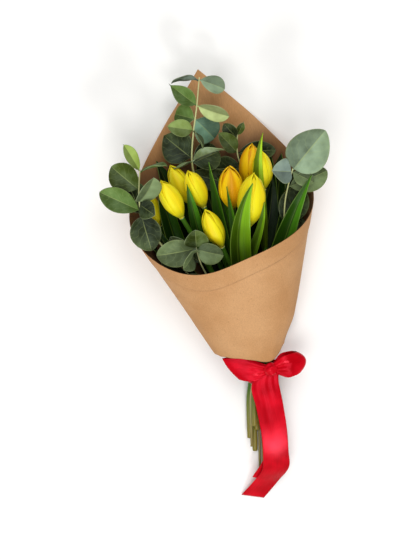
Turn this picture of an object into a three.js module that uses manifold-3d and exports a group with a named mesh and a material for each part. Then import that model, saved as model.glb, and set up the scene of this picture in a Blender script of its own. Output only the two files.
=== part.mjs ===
// A bunch of yellow tulips with eucalyptus, rolled in a cone of brown paper and tied with a satin ribbon.
// It lies on its back: +Z is up, +Y runs from the cut stems to the flowers, and the surface is at Z = 0.
// Sizes are in millimetres. Places are measured from the cone's point, where the paper's sides would meet.
import * as THREE from "three";
import { mergeVertices } from "three/addons/utils/BufferGeometryUtils.js";
import Module from "manifold-3d";

const wasm = await Module();
wasm.setup();

// The paper cone
const CORNER_REACH = 457; // along the cone's axis, from its point to the sheet's top corner
const CORNER_TURN = -0.018; // the corner lies a little left of the middle of the back: radians
const HALF_SLOPE = 0.336; // the cone's half width for each millimetre along its axis
const LEFT_SWELL = 0.028; // how much wider the left half is, and narrower the right
const DEPTH = 0.74; // the cone's depth over its width
const FLAT = 0.94; // where the weight of the bunch presses the cone's back flat, as a share of its depth
const EDGE_ANGLE = THREE.MathUtils.degToRad(41.5); // between the sheet's edge and its diagonal
const EDGE_TURN = 0.341; // turn in the flat sheet for each turn round the cone
const RIM_DIPS = [
  { by: 0.097, at: -2.55, width: 0.92 }, // the rim is pulled down at the front left: turns in radians
  { by: 0.011, at: 0.62, width: 0.48 }, // and a little at the back right
];
const PAPER = 0.8;
const HEM_WIDTH = 24;
const HEM_RAISE = 0.7;
const SKIRT_REACH = 142; // the free lower edge at the sides and front
const SKIRT_DIP = { by: 15, at: 2.75, width: 0.6 }; // it hangs lower at the front right
const TAIL_REACH = 88; // the lower edge at the back, which the ribbon holds
const GATHER_FROM = 178; // where the paper starts to draw in to the tie

// The tie
const TIE_REACH = 100;
const NECK_HALF_WIDTH = 19.2;
const NECK_HALF_DEPTH = 18.6;
const BAND_REACH = 31; // how far above the tie the ribbon's band may lie
const BAND_RISE = 2; // from the tie to the middle of the band
const BAND_TILT = 5; // the band is higher at its left and lower at its right
const BAND_HALF = 9;
const BAND_GAP = 0.35; // between parts that touch
const TULIP_STEM = 3.3; // radius
const SPRIG_STEM = 1.5; // radius
const STEM_SPACE = 0.85;
const STEM_START = 14; // how far out the outermost stems start before they are drawn in
const STEM_ROUNDS = 500; // rounds of drawing in and pushing apart
const STEM_REST = 100; // the last rounds only push apart
const STEM_DRAW = 0.99;
const BLOOM_NECK = 34; // the straight stretch of a stem under its bloom
const RUBBER = 1.6;
const RUBBER_WIDTH = 4;
const NECK_END = 133; // where the stems leave the drawn-in paper and start to fan out
const NECK_SPREAD = 1.14; // how much wider they stand there than at the tie
const STEM_DRIFT = 0.17; // the cut ends lean to the left, for each millimetre below the tie
const LOW_CENTRE = 13.5; // height of the bundle's middle below the tie
const LOW_SPREAD = 1.3;
const LOW_BEND = 62; // where the stems below the tie have sunk to that height

const RIBBON = 0.9; // thickness
const REST_REACH = 200; // from the cone's point to the origin, along the surface

const BLADE = 0.8; // leaf thickness
const PETAL = 1.3;
const PETAL_GAP = 0.7;
const BUD_WIDEST = 0.45; // the share of a bud's length where it is widest
const PETAL_SPREAD = 0.98; // radians, from a petal's middle to its edge

const YELLOW = "#f7d915";
const ORANGE = "#eba01c";

// Each tulip: bloom base and tip, half width, roll of its petals in degrees, how far the tips part, its
// stem's cut end, and its petals' colour if it isn't yellow
const TULIPS = [
  { base: [-84, 302, 46], tip: [-92, 349, 56], half: 11, roll: 20, part: 0.1, cut: 12 },
  { base: [-55, 314, 84], tip: [-70, 363, 100], half: 12, roll: 80, part: 0.08, cut: 30 },
  { base: [-42, 322, 45], tip: [-57, 372, 56], half: 12, roll: 35, part: 0.05, cut: -8 },
  { base: [-28, 318, 67], tip: [-38, 365, 80], half: 12.5, roll: 100, part: 0.16, cut: 22 },
  {
    base: [4, 309, 65], tip: [9, 361, 80], half: 15, roll: 30, part: 0.12, cut: -34,
    petals: ORANGE,
  },
  {
    base: [28, 326, 37], tip: [41, 377, 48], half: 14, roll: 60, part: 0.08, cut: 6,
    petals: ORANGE,
  },
  { base: [43, 323, 61], tip: [48, 371, 76], half: 12, roll: 110, part: 0.06, cut: 20 },
  { base: [17, 291, 92], tip: [34, 352, 108], half: 16.5, roll: 75, part: 0.1, cut: 34 },
  { base: [-17, 273, 92], tip: [-28, 323, 110], half: 11.5, roll: 15, part: 0.04, cut: 40 },
];

// Tulip leaves: the plant, the share of its stem where the leaf starts, its tip, full width, the way its
// hollow side looks, how deep it is folded, and how far its tip bends to the right
const TULIP_LEAVES = [
  { plant: 0, from: 0.72, tip: [-74, 361, 74], wide: 21, face: [0.3, 0, 1], fold: 0.3 },
  { plant: 1, from: 0.74, tip: [-42, 352, 96], wide: 14, face: [-0.1, 0.1, 1], fold: -0.3 },
  { plant: 2, from: 0.6, tip: [-40, 340, 28], wide: 16, face: [-0.3, 0.1, 1], fold: 0.3 },
  { plant: 2, from: 0.66, tip: [-6, 306, 24], wide: 24, face: [0.1, 0, 1], fold: 0.25 },
  { plant: 3, from: 0.51, tip: [-13, 368, 70], wide: 20, face: [-0.7, 0, 0.7], fold: 0.4 },
  { plant: 4, from: 0.62, tip: [-6, 345, 50], wide: 15, face: [-0.5, 0, 1], fold: 0.35 },
  { plant: 5, from: 0.5, tip: [14, 352, 44], wide: 20, face: [0.8, 0.1, 0.6], fold: 0.35 },
  { plant: 5, from: 0.66, tip: [58, 330, 27], wide: 26, face: [0.1, 0, 1], fold: 0.25 },
  { plant: 6, from: 0.72, tip: [52, 392, 98], wide: 14, face: [-0.2, 0, 1], fold: -0.3, bend: 0.35 },
  { plant: 6, from: 0.42, tip: [72, 332, 64], wide: 22, face: [-0.4, 0, 0.9], fold: 0.4 },
  { plant: 7, from: 0.74, tip: [38, 317, 112], wide: 12, face: [-0.5, 0, 0.9], fold: 0.4 },
  { plant: 7, from: 0.47, tip: [96, 335, 103], wide: 25, face: [-0.25, 0, 1], fold: 0.6, bend: 0.5 },
  { plant: 8, from: 0.7, tip: [29, 343, 127], wide: 25, face: [0.3, 0, 1], fold: 0.8, bend: 0.65 },
  { plant: 8, from: 0.55, tip: [1, 340, 95], wide: 13, face: [-0.5, 0, 1], fold: 0.35 },
];

// Each eucalyptus sprig: its stem's places above the tie, its cut end, and its leaves.
// A leaf: where it grows, counted in places along the stem, its tip, full width, the way its face looks, its
// arch, and full if it is broadest nearer its foot (below 1) or nearer its tip (above 1)
const SPRIGS = [
  {
    name: "tall",
    stem: [
      [0, 155, 15], [-21, 245, 13], [-31, 345, 30], [-31, 369, 38],
      [-22, 404, 42], [-13, 431, 44], [-4, 462, 46],
    ],
    cut: -31,
    leaves: [
      { at: 6, tip: [-36, 463, 54], wide: 18, face: [-0.2, 0.95, -0.3], arch: 0.12, full: 1.2 },
      { at: 6, tip: [22, 443, 40], wide: 21, face: [0.3, 0.25, 1], arch: 0.08 },
      { at: 5, tip: [-38, 460, 52], wide: 20, face: [-0.3, 0.3, 1], arch: -0.08, full: 0.85 },
      { at: 5, tip: [20, 413, 57], wide: 21, face: [0.3, -0.5, 0.8], arch: 0.1 },
      { at: 4.45, tip: [-39, 425, 28], wide: 27, face: [-0.1, 0.2, 1], arch: 0.06 },
      { at: 4.45, tip: [0, 388, 24], wide: 34, face: [0.1, 0.2, 1], arch: 0.06 },
      { at: 4, tip: [-50, 415, 54], wide: 20, face: [0.1, 0.2, 1], arch: 0.1 },
      { at: 4, tip: [-16, 384, 60], wide: 14, face: [0.9, 0.2, 0.3], arch: 0.1 },
      { at: 3.1, tip: [-57, 403, 26], wide: 40, face: [-0.2, 0.1, 1], arch: 0.08, full: 0.85 },
      { at: 3, tip: [7, 378, 60], wide: 20, face: [0.25, 0.9, -0.4], arch: 0.1 },
      { at: 3, tip: [-52, 368, 60], wide: 16, face: [0.15, 0.9, -0.3], arch: -0.1 },
      { at: 2.9, tip: [2, 371, 18], wide: 34, face: [0.1, 0.2, 1], arch: 0.06 },
    ],
  },
  {
    name: "left",
    stem: [[-60, 240, 62], [-98, 318, 84], [-98, 345, 92], [-90, 379, 98]],
    cut: 2,
    leaves: [
      { at: 3, tip: [-101, 410, 106], wide: 15, face: [0.5, 0, 1], arch: 0.1 },
      { at: 3, tip: [-60, 380, 112], wide: 16, face: [0, 0.95, 0.1], arch: 0.08 },
      { at: 2.35, tip: [-121, 387, 84], wide: 32, face: [-0.1, 0.1, 1], arch: 0.1 },
      { at: 1.9, tip: [-76, 370, 124], wide: 30, face: [0.3, -0.75, 0.7], arch: 0.1 },
      { at: 1.5, tip: [-139, 363, 96], wide: 27, face: [0, 0.2, 1], arch: 0.14 },
      { at: 1.3, tip: [-108, 364, 64], wide: 32, face: [0.2, -0.3, 1], arch: 0.1 },
      { at: 1.3, tip: [-96, 286, 94], wide: 36, face: [-0.1, -0.2, 1], arch: 0.08, full: 0.9 },
      { at: 0.1, tip: [-86, 268, 60], wide: 30, face: [-0.2, 0, 1], arch: 0.08 },
    ],
  },
  {
    name: "low",
    stem: [[-23, 190, 64], [-44, 258, 94], [-46, 281, 104]],
    cut: 44,
    leaves: [
      { at: 2, tip: [-91, 281, 105], wide: 32, face: [0, -0.1, 1], arch: 0.1 },
      { at: 2, tip: [-64, 263, 122], wide: 24, face: [-0.5, -0.6, 0.7], arch: 0.1 },
      { at: 2, tip: [-43, 303, 118], wide: 27, face: [0, -0.6, 0.9], arch: 0.1 },
      { at: 1.9, tip: [-18, 268, 113], wide: 27, face: [0.1, -0.3, 1], arch: 0.12 },
      { at: 1.1, tip: [-72, 296, 92], wide: 26, face: [-0.3, -0.3, 1], arch: 0.1 },
      { at: 0.4, tip: [-66, 246, 82], wide: 26, face: [-0.2, 0, 1], arch: 0.1 },
    ],
  },
  {
    name: "right",
    stem: [[33, 190, 54], [52, 250, 68], [64, 310, 82], [78, 345, 92]],
    cut: -4,
    leaves: [
      { at: 3, tip: [120, 381, 102], wide: 47, face: [0, 0.1, 1], arch: 0.06, full: 0.8 },
      { at: 2.9, tip: [54, 350, 110], wide: 28, face: [0.1, 0.2, 1], arch: 0.06, full: 0.8 },
      { at: 2.4, tip: [116, 334, 86], wide: 30, face: [0.1, -0.2, 1], arch: 0.1 },
      { at: 1.5, tip: [86, 318, 66], wide: 34, face: [-0.1, 0, 1], arch: 0.1 },
      { at: 0.9, tip: [81, 282, 60], wide: 28, face: [-0.1, 0, 1], arch: 0.1 },
    ],
  },
  {
    name: "back",
    stem: [[14, 250, 20], [26, 330, 20], [23, 366, 26], [27, 388, 30]],
    cut: -28,
    leaves: [
      { at: 3, tip: [36, 400, 34], wide: 9, face: [0, 0, 1], arch: 0.1 },
      { at: 2.8, tip: [14, 403, 32], wide: 17, face: [-0.3, 0, 1], arch: 0.1 },
      { at: 2, tip: [6, 394, 38], wide: 20, face: [0.3, 0.2, 1], arch: 0.1 },
      { at: 2, tip: [66, 363, 20], wide: 25, face: [0, 0.2, 1], arch: 0.1 },
      { at: 1.4, tip: [60, 342, 14], wide: 30, face: [0, 0.1, 1], arch: 0.06 },
      { at: 1.4, tip: [-8, 352, 13], wide: 30, face: [-0.1, 0.1, 1], arch: 0.06 },
      { at: 0.6, tip: [50, 316, 14], wide: 30, face: [0.1, 0, 1], arch: 0.06 },
      { at: 0.6, tip: [-12, 312, 10], wide: 30, face: [-0.1, 0, 1], arch: 0.06 },
    ],
  },
];

// The ribbon's tails: places along their left and right edges, from the knot to the cut end
const FRONT_TAIL = {
  left: [
    [2, 106, 46], [-14, 90, 45], [-14, 60, 43], [-14, 25, 40],
    [-17, -5, 34], [-21, -26, 26], [-34, -44, 14], [-53, -64, 1.5],
  ],
  right: [
    [22, 103, 46], [19, 90, 45], [19, 60, 43], [18, 25, 40],
    [15, -5, 34.5], [12, -30, 26], [-4, -50, 14], [-26, -74, 1.5],
  ],
};
const REAR_TAIL = {
  left: [[4, 104, 44], [-8, 80, 41], [-10, 25, 36], [-16, -10, 28], [-35, -38, 15]],
  right: [[16, 103, 44], [14, 78, 41], [16, 25, 36], [12, -10, 28], [-8, -50, 14.5]],
};
const KNOT = [12, 106, 49.5];
const KNOT_HALF = [9, 8, 6];
// A loop: its tip, full width, how far it opens, how much further its upper edge reaches than its middle,
// and how far both edges stay behind the middle
const RIGHT_LOOP = { tip: [56, 108, 45], wide: 28, bulge: 7, slant: 0, rounding: 0.2 };
const LEFT_LOOP = { tip: [-35, 115, 43], wide: 29, bulge: 3, slant: 0.3, rounding: 0.05 };

// The cone's axis rises from its point, because its flat back lies on the surface
const RISE = Math.atan(HALF_SLOPE * DEPTH * FLAT);

// A place given by its distance right of the cone's axis, its reach along it and its distance before it
function inCone(right, reach, front) {
  return new THREE.Vector3(
    right,
    reach * Math.cos(RISE) - front * Math.sin(RISE),
    reach * Math.sin(RISE) + front * Math.cos(RISE),
  );
}

const vector = ([x, y, z]) => new THREE.Vector3(x, y, z);
const smooth = (low, high, x) => THREE.MathUtils.smoothstep(x, low, high);
const mix = THREE.MathUtils.lerp;

// Geometry with only positions, its shared vertices merged, as a solid
function solidOf(geometry) {
  const bare = geometry.clone();
  bare.deleteAttribute("normal");
  bare.deleteAttribute("uv");
  const merged = mergeVertices(bare, 1e-4);
  return new wasm.Manifold(
    new wasm.Mesh({
      numProp: 3,
      vertProperties: new Float32Array(merged.attributes.position.array),
      triVerts: new Uint32Array(merged.index.array),
    }),
  );
}

// A solid as a named mesh
function meshOf(name, solid, colour, roughness) {
  const { vertProperties, triVerts, numProp } = solid.getMesh();
  const corners = new Float32Array((vertProperties.length / numProp) * 3);
  for (let i = 0; i < corners.length / 3; i++) {
    corners.set(vertProperties.subarray(i * numProp, i * numProp + 3), i * 3);
  }
  const geometry = new THREE.BufferGeometry()
    .setAttribute("position", new THREE.BufferAttribute(corners, 3))
    .setIndex(new THREE.BufferAttribute(triVerts, 1));
  geometry.computeVertexNormals();
  const finish = new THREE.MeshStandardMaterial({ color: colour, roughness, metalness: 0 });
  const mesh = new THREE.Mesh(geometry, finish);
  mesh.name = name;
  return mesh;
}

const fuse = (solids) => solids.reduce((whole, piece) => whole.add(piece));

// The largest of a solid's bodies, so that a scrap cut off by fusing is dropped
function largestBody(solid) {
  return solid.decompose().reduce((a, b) => (a.volume() > b.volume() ? a : b));
}

// A thin solid on both sides of the surface place(u, v), with u from -1 to 1 across and v from 0 to 1 along.
// Both faces are split along the same diagonals.
function thinSolid(place, across, along, thickness) {
  const sheet = new THREE.PlaneGeometry(1, 1, across, along);
  const { position, uv } = sheet.attributes;
  for (let i = 0; i < position.count; i++) {
    const p = place(uv.getX(i) * 2 - 1, uv.getY(i));
    position.setXYZ(i, p.x, p.y, p.z);
  }
  sheet.computeVertexNormals();
  const corners = [];
  for (const half of [thickness / 2, -thickness / 2]) {
    for (let i = 0; i < position.count; i++) {
      const normal = new THREE.Vector3().fromBufferAttribute(sheet.attributes.normal, i);
      const corner = new THREE.Vector3().fromBufferAttribute(position, i).addScaledVector(normal, half);
      corners.push(corner.x, corner.y, corner.z);
    }
  }
  const faces = [];
  const edges = new Map();
  const index = sheet.index.array;
  for (let i = 0; i < index.length; i += 3) {
    const [a, b, c] = index.slice(i, i + 3);
    faces.push(a, b, c, c + position.count, b + position.count, a + position.count);
    for (const [p, q] of [[a, b], [b, c], [c, a]]) {
      if (!edges.delete(q + "," + p)) edges.set(p + "," + q, [p, q]);
    }
  }
  for (const [p, q] of edges.values()) {
    faces.push(p + position.count, q + position.count, q, p + position.count, q, p);
  }
  const geometry = new THREE.BufferGeometry();
  geometry.setAttribute("position", new THREE.Float32BufferAttribute(corners, 3));
  geometry.setIndex(faces);
  return solidOf(geometry);
}

// A closed band: columns of points round a closed outline, joined to the next column all the way round.
// Rows below fold are split the other way, so that the inner and outer faces of a thin wall are split alike.
function closedBand(columns, fold) {
  const rows = columns[0].length;
  const corners = columns.flat().flatMap((p) => [p.x, p.y, p.z]);
  const faces = [];
  for (let i = 0; i < columns.length; i++) {
    const next = (i + 1) % columns.length;
    for (let j = 0; j < rows; j++) {
      const up = (j + 1) % rows;
      const [a, b, c, d] = [i * rows + j, next * rows + j, next * rows + up, i * rows + up];
      if (j < fold) faces.push(a, c, b, a, d, c);
      else faces.push(a, d, b, b, d, c);
    }
  }
  const geometry = new THREE.BufferGeometry();
  geometry.setAttribute("position", new THREE.Float32BufferAttribute(corners, 3));
  geometry.setIndex(faces);
  return solidOf(geometry);
}

// A round stem along a curve
function stemSolid(curve, radius, sides, steps) {
  const round = new THREE.Shape();
  for (let i = 0; i < sides; i++) {
    const turn = (i / sides) * 2 * Math.PI;
    const [x, y] = [radius * Math.cos(turn), radius * Math.sin(turn)];
    if (i === 0) round.moveTo(x, y);
    else round.lineTo(x, y);
  }
  round.closePath();
  return solidOf(new THREE.ExtrudeGeometry(round, { steps, extrudePath: curve, bevelEnabled: false }));
}

// How far one turn round the cone is from another, by the shorter way
function turnFrom(turn, at) {
  return THREE.MathUtils.euclideanModulo(turn - at + Math.PI, 2 * Math.PI) - Math.PI;
}

// A smooth dip in an edge round the cone
function dip(turn, { by, at, width }) {
  return by * Math.exp(-((turnFrom(turn, at) / width) ** 2));
}

// How far along the axis the sheet's edge lies, at a turn round the cone from the middle of its back
function rimReach(turn) {
  const away = Math.abs(turnFrom(turn, CORNER_TURN));
  const straight = (CORNER_REACH * Math.sin(EDGE_ANGLE)) / Math.sin(EDGE_ANGLE + away * EDGE_TURN);
  return RIM_DIPS.reduce((reach, share) => reach * (1 - dip(turn, share)), straight);
}

// The paper's lower edge: long at the back, where the ribbon holds it, and a free skirt at the front
function footReach(turn) {
  return mix(TAIL_REACH, SKIRT_REACH - dip(turn, SKIRT_DIP), smooth(0.75, 1.3, Math.abs(turn - 0.1)));
}

// A point of the paper's outer face
function paperPoint(turn, reach) {
  const slope = HALF_SLOPE - LEFT_SWELL * Math.sin(turn);
  const flat = Math.abs(turn) < Math.acos(FLAT) ? FLAT : Math.cos(turn);
  const free = smooth(1.3, 1.8, Math.abs(turn - 0.1)) * (0.85 - 0.15 * Math.sin(turn));
  const drawn = smooth(0, 1, (GATHER_FROM - reach) / (GATHER_FROM - TIE_REACH - BAND_REACH)) * (1 - free);
  const right = mix(reach * slope * Math.sin(turn), NECK_HALF_WIDTH * Math.sin(turn), drawn);
  const front = mix(-reach * HALF_SLOPE * DEPTH * flat, -NECK_HALF_DEPTH * Math.cos(turn), drawn);
  return inCone(right, reach, front);
}

function paperWrap() {
  const around = 36;
  const free = TIE_REACH + BAND_REACH + 1;
  const step = 0.01;
  const columns = [];
  for (let i = 0; i < around; i++) {
    const turn = CORNER_TURN + (i / around) * 2 * Math.PI - Math.PI;
    const [low, high] = [footReach(turn), rimReach(turn)];
    const hem = high - HEM_WIDTH;
    const drawn = Math.max(low + 4, free);
    const reaches = [low, drawn, drawn + 22, drawn + 45, mix(drawn + 45, hem, 0.5), hem - 1, hem, high];
    const inner = [];
    const outer = [];
    reaches.forEach((reach, row) => {
      const p = paperPoint(turn, reach);
      const round = paperPoint(turn + step, reach).sub(paperPoint(turn - step, reach));
      const up = paperPoint(turn, reach + 1).sub(paperPoint(turn, reach - 1));
      const out = up.cross(round).normalize();
      const front = smooth(0.75, 1.1, Math.abs(turn));
      const raise = row >= reaches.length - 2 ? HEM_RAISE * front : 0;
      outer.push(p.clone().addScaledVector(out, raise));
      inner.push(p.clone().addScaledVector(out, -PAPER));
    });
    columns.push([...outer, ...inner.reverse()]);
  }
  return closedBand(columns, columns[0].length / 2);
}

// Where each stem crosses the tie: circles that start towards their heads and are pushed apart and drawn in
function tiePlaces(stems) {
  const places = stems.map(({ head, radius }) => {
    const reach = head.y * Math.cos(RISE) + head.z * Math.sin(RISE);
    const front = head.z * Math.cos(RISE) - head.y * Math.sin(RISE);
    const across = head.x / (reach * HALF_SLOPE);
    const deep = front / (reach * HALF_SLOPE * DEPTH);
    return { x: across * STEM_START, y: deep * STEM_START, radius };
  });
  for (let round = 0; round < STEM_ROUNDS; round++) {
    const draw = round < STEM_ROUNDS - STEM_REST ? STEM_DRAW : 1;
    for (const a of places) {
      a.x *= draw;
      a.y *= draw;
      for (const b of places) {
        const [dx, dy] = [b.x - a.x, b.y - a.y];
        const apart = Math.hypot(dx, dy);
        const short = a.radius + b.radius + STEM_SPACE - apart;
        if (a === b || short <= 0) continue;
        a.x -= (dx / apart) * short * 0.5;
        a.y -= (dy / apart) * short * 0.5;
        b.x += (dx / apart) * short * 0.5;
        b.y += (dy / apart) * short * 0.5;
      }
    }
  }
  return places;
}

// A stem's line: from its cut end through the tie and the places above it
function stemCurve(place, cut, above) {
  const tie = inCone(place.x, TIE_REACH, place.y);
  const below = (y) => new THREE.Vector3(
    place.x * LOW_SPREAD - STEM_DRIFT * (tie.y - y),
    y,
    LOW_CENTRE + place.y * 0.98,
  );
  const over = inCone(place.x * NECK_SPREAD, NECK_END, place.y * NECK_SPREAD);
  return new THREE.CatmullRomCurve3([below(cut), below(LOW_BEND), tie, over, ...above]);
}

// A leaf blade along a curve. The surface is hollow towards face if fold is positive.
function bladeSolid(curve, face, halfWidth, fold, across, along, ends) {
  const place = (u, v) => {
    const t = ends(v);
    const middle = curve.getPoint(t);
    const forward = curve.getTangent(t);
    const side = forward.clone().cross(face).normalize();
    const normal = side.clone().cross(forward);
    const half = halfWidth(t);
    middle.addScaledVector(side, u * half);
    return middle.addScaledVector(normal, fold * half * Math.abs(u) ** 1.5);
  };
  return thinSolid(place, across, along, BLADE);
}

// A tulip leaf: long, broadest below its middle, folded along its rib
function tulipLeaf(stem, { from, tip, wide, face, fold, bend = 0 }) {
  const foot = stem.getPoint(from);
  const forward = stem.getTangent(from);
  const end = vector(tip);
  const length = foot.distanceTo(end);
  const straight = end.clone().sub(foot).normalize();
  const last = straight.clone().multiplyScalar(0.5).add(inCone(bend, 0.5, 0)).normalize();
  const curve = new THREE.CubicBezierCurve3(
    foot,
    foot.clone().addScaledVector(forward, length * 0.22).addScaledVector(straight, length * 0.14),
    end.clone().addScaledVector(last, -length * 0.34),
    end,
  );
  const half = (t) => {
    const body = t < 0.42 ? mix(0.34, 1, smooth(0, 0.42, t)) : 1 - ((t - 0.42) / 0.58) ** 2.4;
    return Math.max((wide / 2) * body, 0.7);
  };
  return bladeSolid(curve, vector(face), half, fold, 2, 7, (v) => v);
}

// A eucalyptus leaf: round to oval, almost flat, on a very short stalk
function sprigLeaf(stem, share, { tip, wide, face, arch, full = 1 }) {
  const end = vector(tip);
  const forward = end.clone().sub(stem.getPoint(share)).normalize();
  const foot = stem.getPoint(Math.min(share, 0.992)).addScaledVector(forward, SPRIG_STEM / 2);
  const length = foot.distanceTo(end);
  const side = forward.clone().cross(vector(face)).normalize();
  const normal = side.clone().cross(forward);
  const middle = foot.clone().lerp(end, 0.5).addScaledVector(normal, arch * length);
  const curve = new THREE.QuadraticBezierCurve3(foot, middle, end);
  const half = (t) => Math.max((wide / 2) * Math.sin(Math.PI * t ** full) ** 0.6, 0.8);
  return bladeSolid(curve, vector(face), half, 0.16, 2, 4, (v) => 0.5 - 0.5 * Math.cos(Math.PI * v));
}

// The bud's half width along its length, as a share of its greatest: a tapered foot and a blunt tip
function budWidth(share) {
  if (share < BUD_WIDEST) return 0.2 + 0.8 * Math.sin((Math.PI / 2) * (share / BUD_WIDEST)) ** 0.9;
  return (1 - ((share - BUD_WIDEST) / (1 - BUD_WIDEST)) ** 2.6) ** 0.75;
}

// A closed bloom on its base along +Z: three inner petals and three outer ones, grown on a small heart
function bloomSolid(length, half, roll, part) {
  const outline = [[0, 0.6], [0.3 * half, 0.6], [0.38 * half, 3], [0.36 * half, 5.5], [0, 8]];
  const heart = new THREE.LatheGeometry(outline.map(([x, y]) => new THREE.Vector2(x, y)), 9);
  const pieces = [solidOf(heart.rotateX(Math.PI / 2))];
  for (let i = 0; i < 6; i++) {
    const outer = i % 2 === 0;
    const middle = THREE.MathUtils.degToRad(roll + i * 60);
    const inset = PETAL / 2 + (outer ? 0 : PETAL + PETAL_GAP);
    const petal = (u, v) => {
      const share = 0.05 + 0.95 * v;
      const taper = 1 - 0.78 * share ** 4;
      const turn = middle + u * PETAL_SPREAD * taper;
      const lean = part * half * Math.max(share - 0.45, 0) ** 1.5 * (outer ? 2 : 1.6);
      const reach = Math.max(half * budWidth(share) - inset + lean - 0.02 * half * Math.abs(u), PETAL);
      const height = length * share * (outer ? 1 : 0.98);
      return new THREE.Vector3(reach * Math.cos(turn), reach * Math.sin(turn), height);
    };
    pieces.push(thinSolid(petal, 2, 4, PETAL));
  }
  return largestBody(fuse(pieces));
}

// A solid that stands along +Z, turned to stand along a direction from a point
function stand(solid, point, direction) {
  const turn = new THREE.Quaternion().setFromUnitVectors(new THREE.Vector3(0, 0, 1), direction);
  const matrix = new THREE.Matrix4().compose(point, turn, new THREE.Vector3(1, 1, 1));
  return solid.transform(matrix.toArray());
}

function ribbonStrip({ left, right }) {
  const [a, b] = [left, right].map((edge) => new THREE.CatmullRomCurve3(edge.map(vector)));
  return thinSolid((u, v) => a.getPoint(v).lerp(b.getPoint(v), (u + 1) / 2), 1, 11, RIBBON);
}

// A loop of the bow: out from the knot on its front, round, and back behind
function ribbonLoop({ tip, wide, bulge, slant, rounding }) {
  const knot = vector(KNOT);
  const end = vector(tip);
  const out = end.clone().sub(knot);
  const length = out.length();
  out.normalize();
  const across = new THREE.Vector3(0, 1, 0).addScaledVector(out, -out.y).normalize();
  const up = out.clone().cross(across).multiplyScalar(out.x > 0 ? 1 : -1);
  const place = (u, v) => {
    const turn = (v - 0.5) * 2 * Math.PI * 0.93;
    const reach = length * (0.5 + 0.5 * Math.cos(turn));
    const height = bulge * Math.sin(turn) * (0.35 + 0.65 * smooth(0, 0.6, reach / length));
    const half = (wide / 2) * mix(0.35, 1, smooth(0, 0.55, reach / length));
    const along = reach * (1 + slant * u - rounding * u * u);
    const point = knot.clone().addScaledVector(out, along);
    return point.addScaledVector(up, height).addScaledVector(across, u * half);
  };
  return thinSolid(place, 2, 14, RIBBON);
}

// The band round the neck, higher at its left, and the bow on it
function ribbonSolid() {
  const around = 32;
  const columns = [];
  for (let i = 0; i < around; i++) {
    const turn = (i / around) * 2 * Math.PI - Math.PI;
    const middle = TIE_REACH + BAND_RISE - BAND_TILT * Math.sin(turn);
    const at = (reach, gap) => {
      const [wide, deep] = [NECK_HALF_WIDTH + gap, NECK_HALF_DEPTH + gap];
      return inCone(wide * Math.sin(turn), reach, -deep * Math.cos(turn));
    };
    const [inside, outside] = [BAND_GAP, BAND_GAP + RIBBON];
    const [low, high] = [middle - BAND_HALF, middle + BAND_HALF];
    columns.push([at(low, outside), at(high, outside), at(high, inside), at(low, inside)]);
  }
  const band = closedBand(columns, 2);
  const ball = new THREE.SphereGeometry(1, 10, 6).scale(...KNOT_HALF).translate(...KNOT);
  const tails = [FRONT_TAIL, REAR_TAIL].map(ribbonStrip);
  const loops = [RIGHT_LOOP, LEFT_LOOP].map(ribbonLoop);
  return largestBody(fuse([band, solidOf(ball), ...tails, ...loops]));
}

// The rubber band that holds the stems under the ribbon
function rubberBand(places) {
  const reach = Math.max(...places.map(({ x, y, radius }) => Math.hypot(x, y) + radius)) + 3 * BAND_GAP;
  const around = 28;
  const columns = [];
  for (let i = 0; i < around; i++) {
    const turn = (i / around) * 2 * Math.PI - Math.PI;
    const at = (radius, along) => {
      return inCone(radius * Math.sin(turn), TIE_REACH + along, -radius * Math.cos(turn));
    };
    const [inside, outside] = [reach / Math.cos(Math.PI / around), reach + RUBBER];
    const half = RUBBER_WIDTH / 2;
    columns.push([at(outside, -half), at(outside, half), at(inside, half), at(inside, -half)]);
  }
  return closedBand(columns, 2);
}

const bunch = new THREE.Group();
bunch.position.y = -REST_REACH;

const stems = [
  ...TULIPS.map(({ base }) => ({ head: vector(base), radius: TULIP_STEM })),
  ...SPRIGS.map(({ stem }) => ({ head: vector(stem[Math.floor(stem.length / 2)]), radius: SPRIG_STEM })),
];
const places = tiePlaces(stems);

TULIPS.forEach(({ base, tip, half, roll, part, cut, petals = YELLOW }, i) => {
  const foot = vector(base);
  const direction = vector(tip).sub(foot);
  const length = direction.length();
  direction.normalize();
  const top = foot.clone().addScaledVector(direction, 0.3);
  const under = foot.clone().addScaledVector(direction, -BLOOM_NECK);
  const curve = stemCurve(places[i], cut, [under, top]);
  const leaves = TULIP_LEAVES.filter(({ plant }) => plant === i).map((leaf) => tulipLeaf(curve, leaf));
  const plant = largestBody(fuse([stemSolid(curve, TULIP_STEM, 6, 10), ...leaves]));
  bunch.add(meshOf(`tulip_${i + 1}_stem`, plant, "#4f8428", 0.5));
  const bloom = stand(bloomSolid(length, half, roll, part), foot, direction);
  bunch.add(meshOf(`tulip_${i + 1}_bloom`, bloom, petals, 0.45));
});

SPRIGS.forEach(({ name, stem, cut, leaves }, i) => {
  const curve = stemCurve(places[TULIPS.length + i], cut, stem.map(vector));
  const last = curve.points.length - 1;
  const pieces = leaves.map((leaf) => sprigLeaf(curve, (last - stem.length + 1 + leaf.at) / last, leaf));
  const sprig = largestBody(fuse([stemSolid(curve, SPRIG_STEM, 5, 18), ...pieces]));
  bunch.add(meshOf(`eucalyptus_${name}`, sprig, "#5f8468", 0.6));
});

bunch.add(meshOf("rubber_band", rubberBand(places), "#b8863c", 0.6));
bunch.add(meshOf("paper_wrap", paperWrap(), "#cb9d6c", 0.85));
bunch.add(meshOf("ribbon", ribbonSolid(), "#d80f22", 0.3));

const part = new THREE.Group();
part.add(bunch);
export default part;
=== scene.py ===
"""Looks of a bunch of yellow tulips with eucalyptus, in a cone of brown paper tied with a red satin ribbon.

The bunch lies on its back: +Z is up, and +Y runs from the cut stems to the flowers. Shapes are worked out in
millimetres, with places measured from the cone's point, and each piece is set into the frame in metres.
"""

from __future__ import annotations

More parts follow.
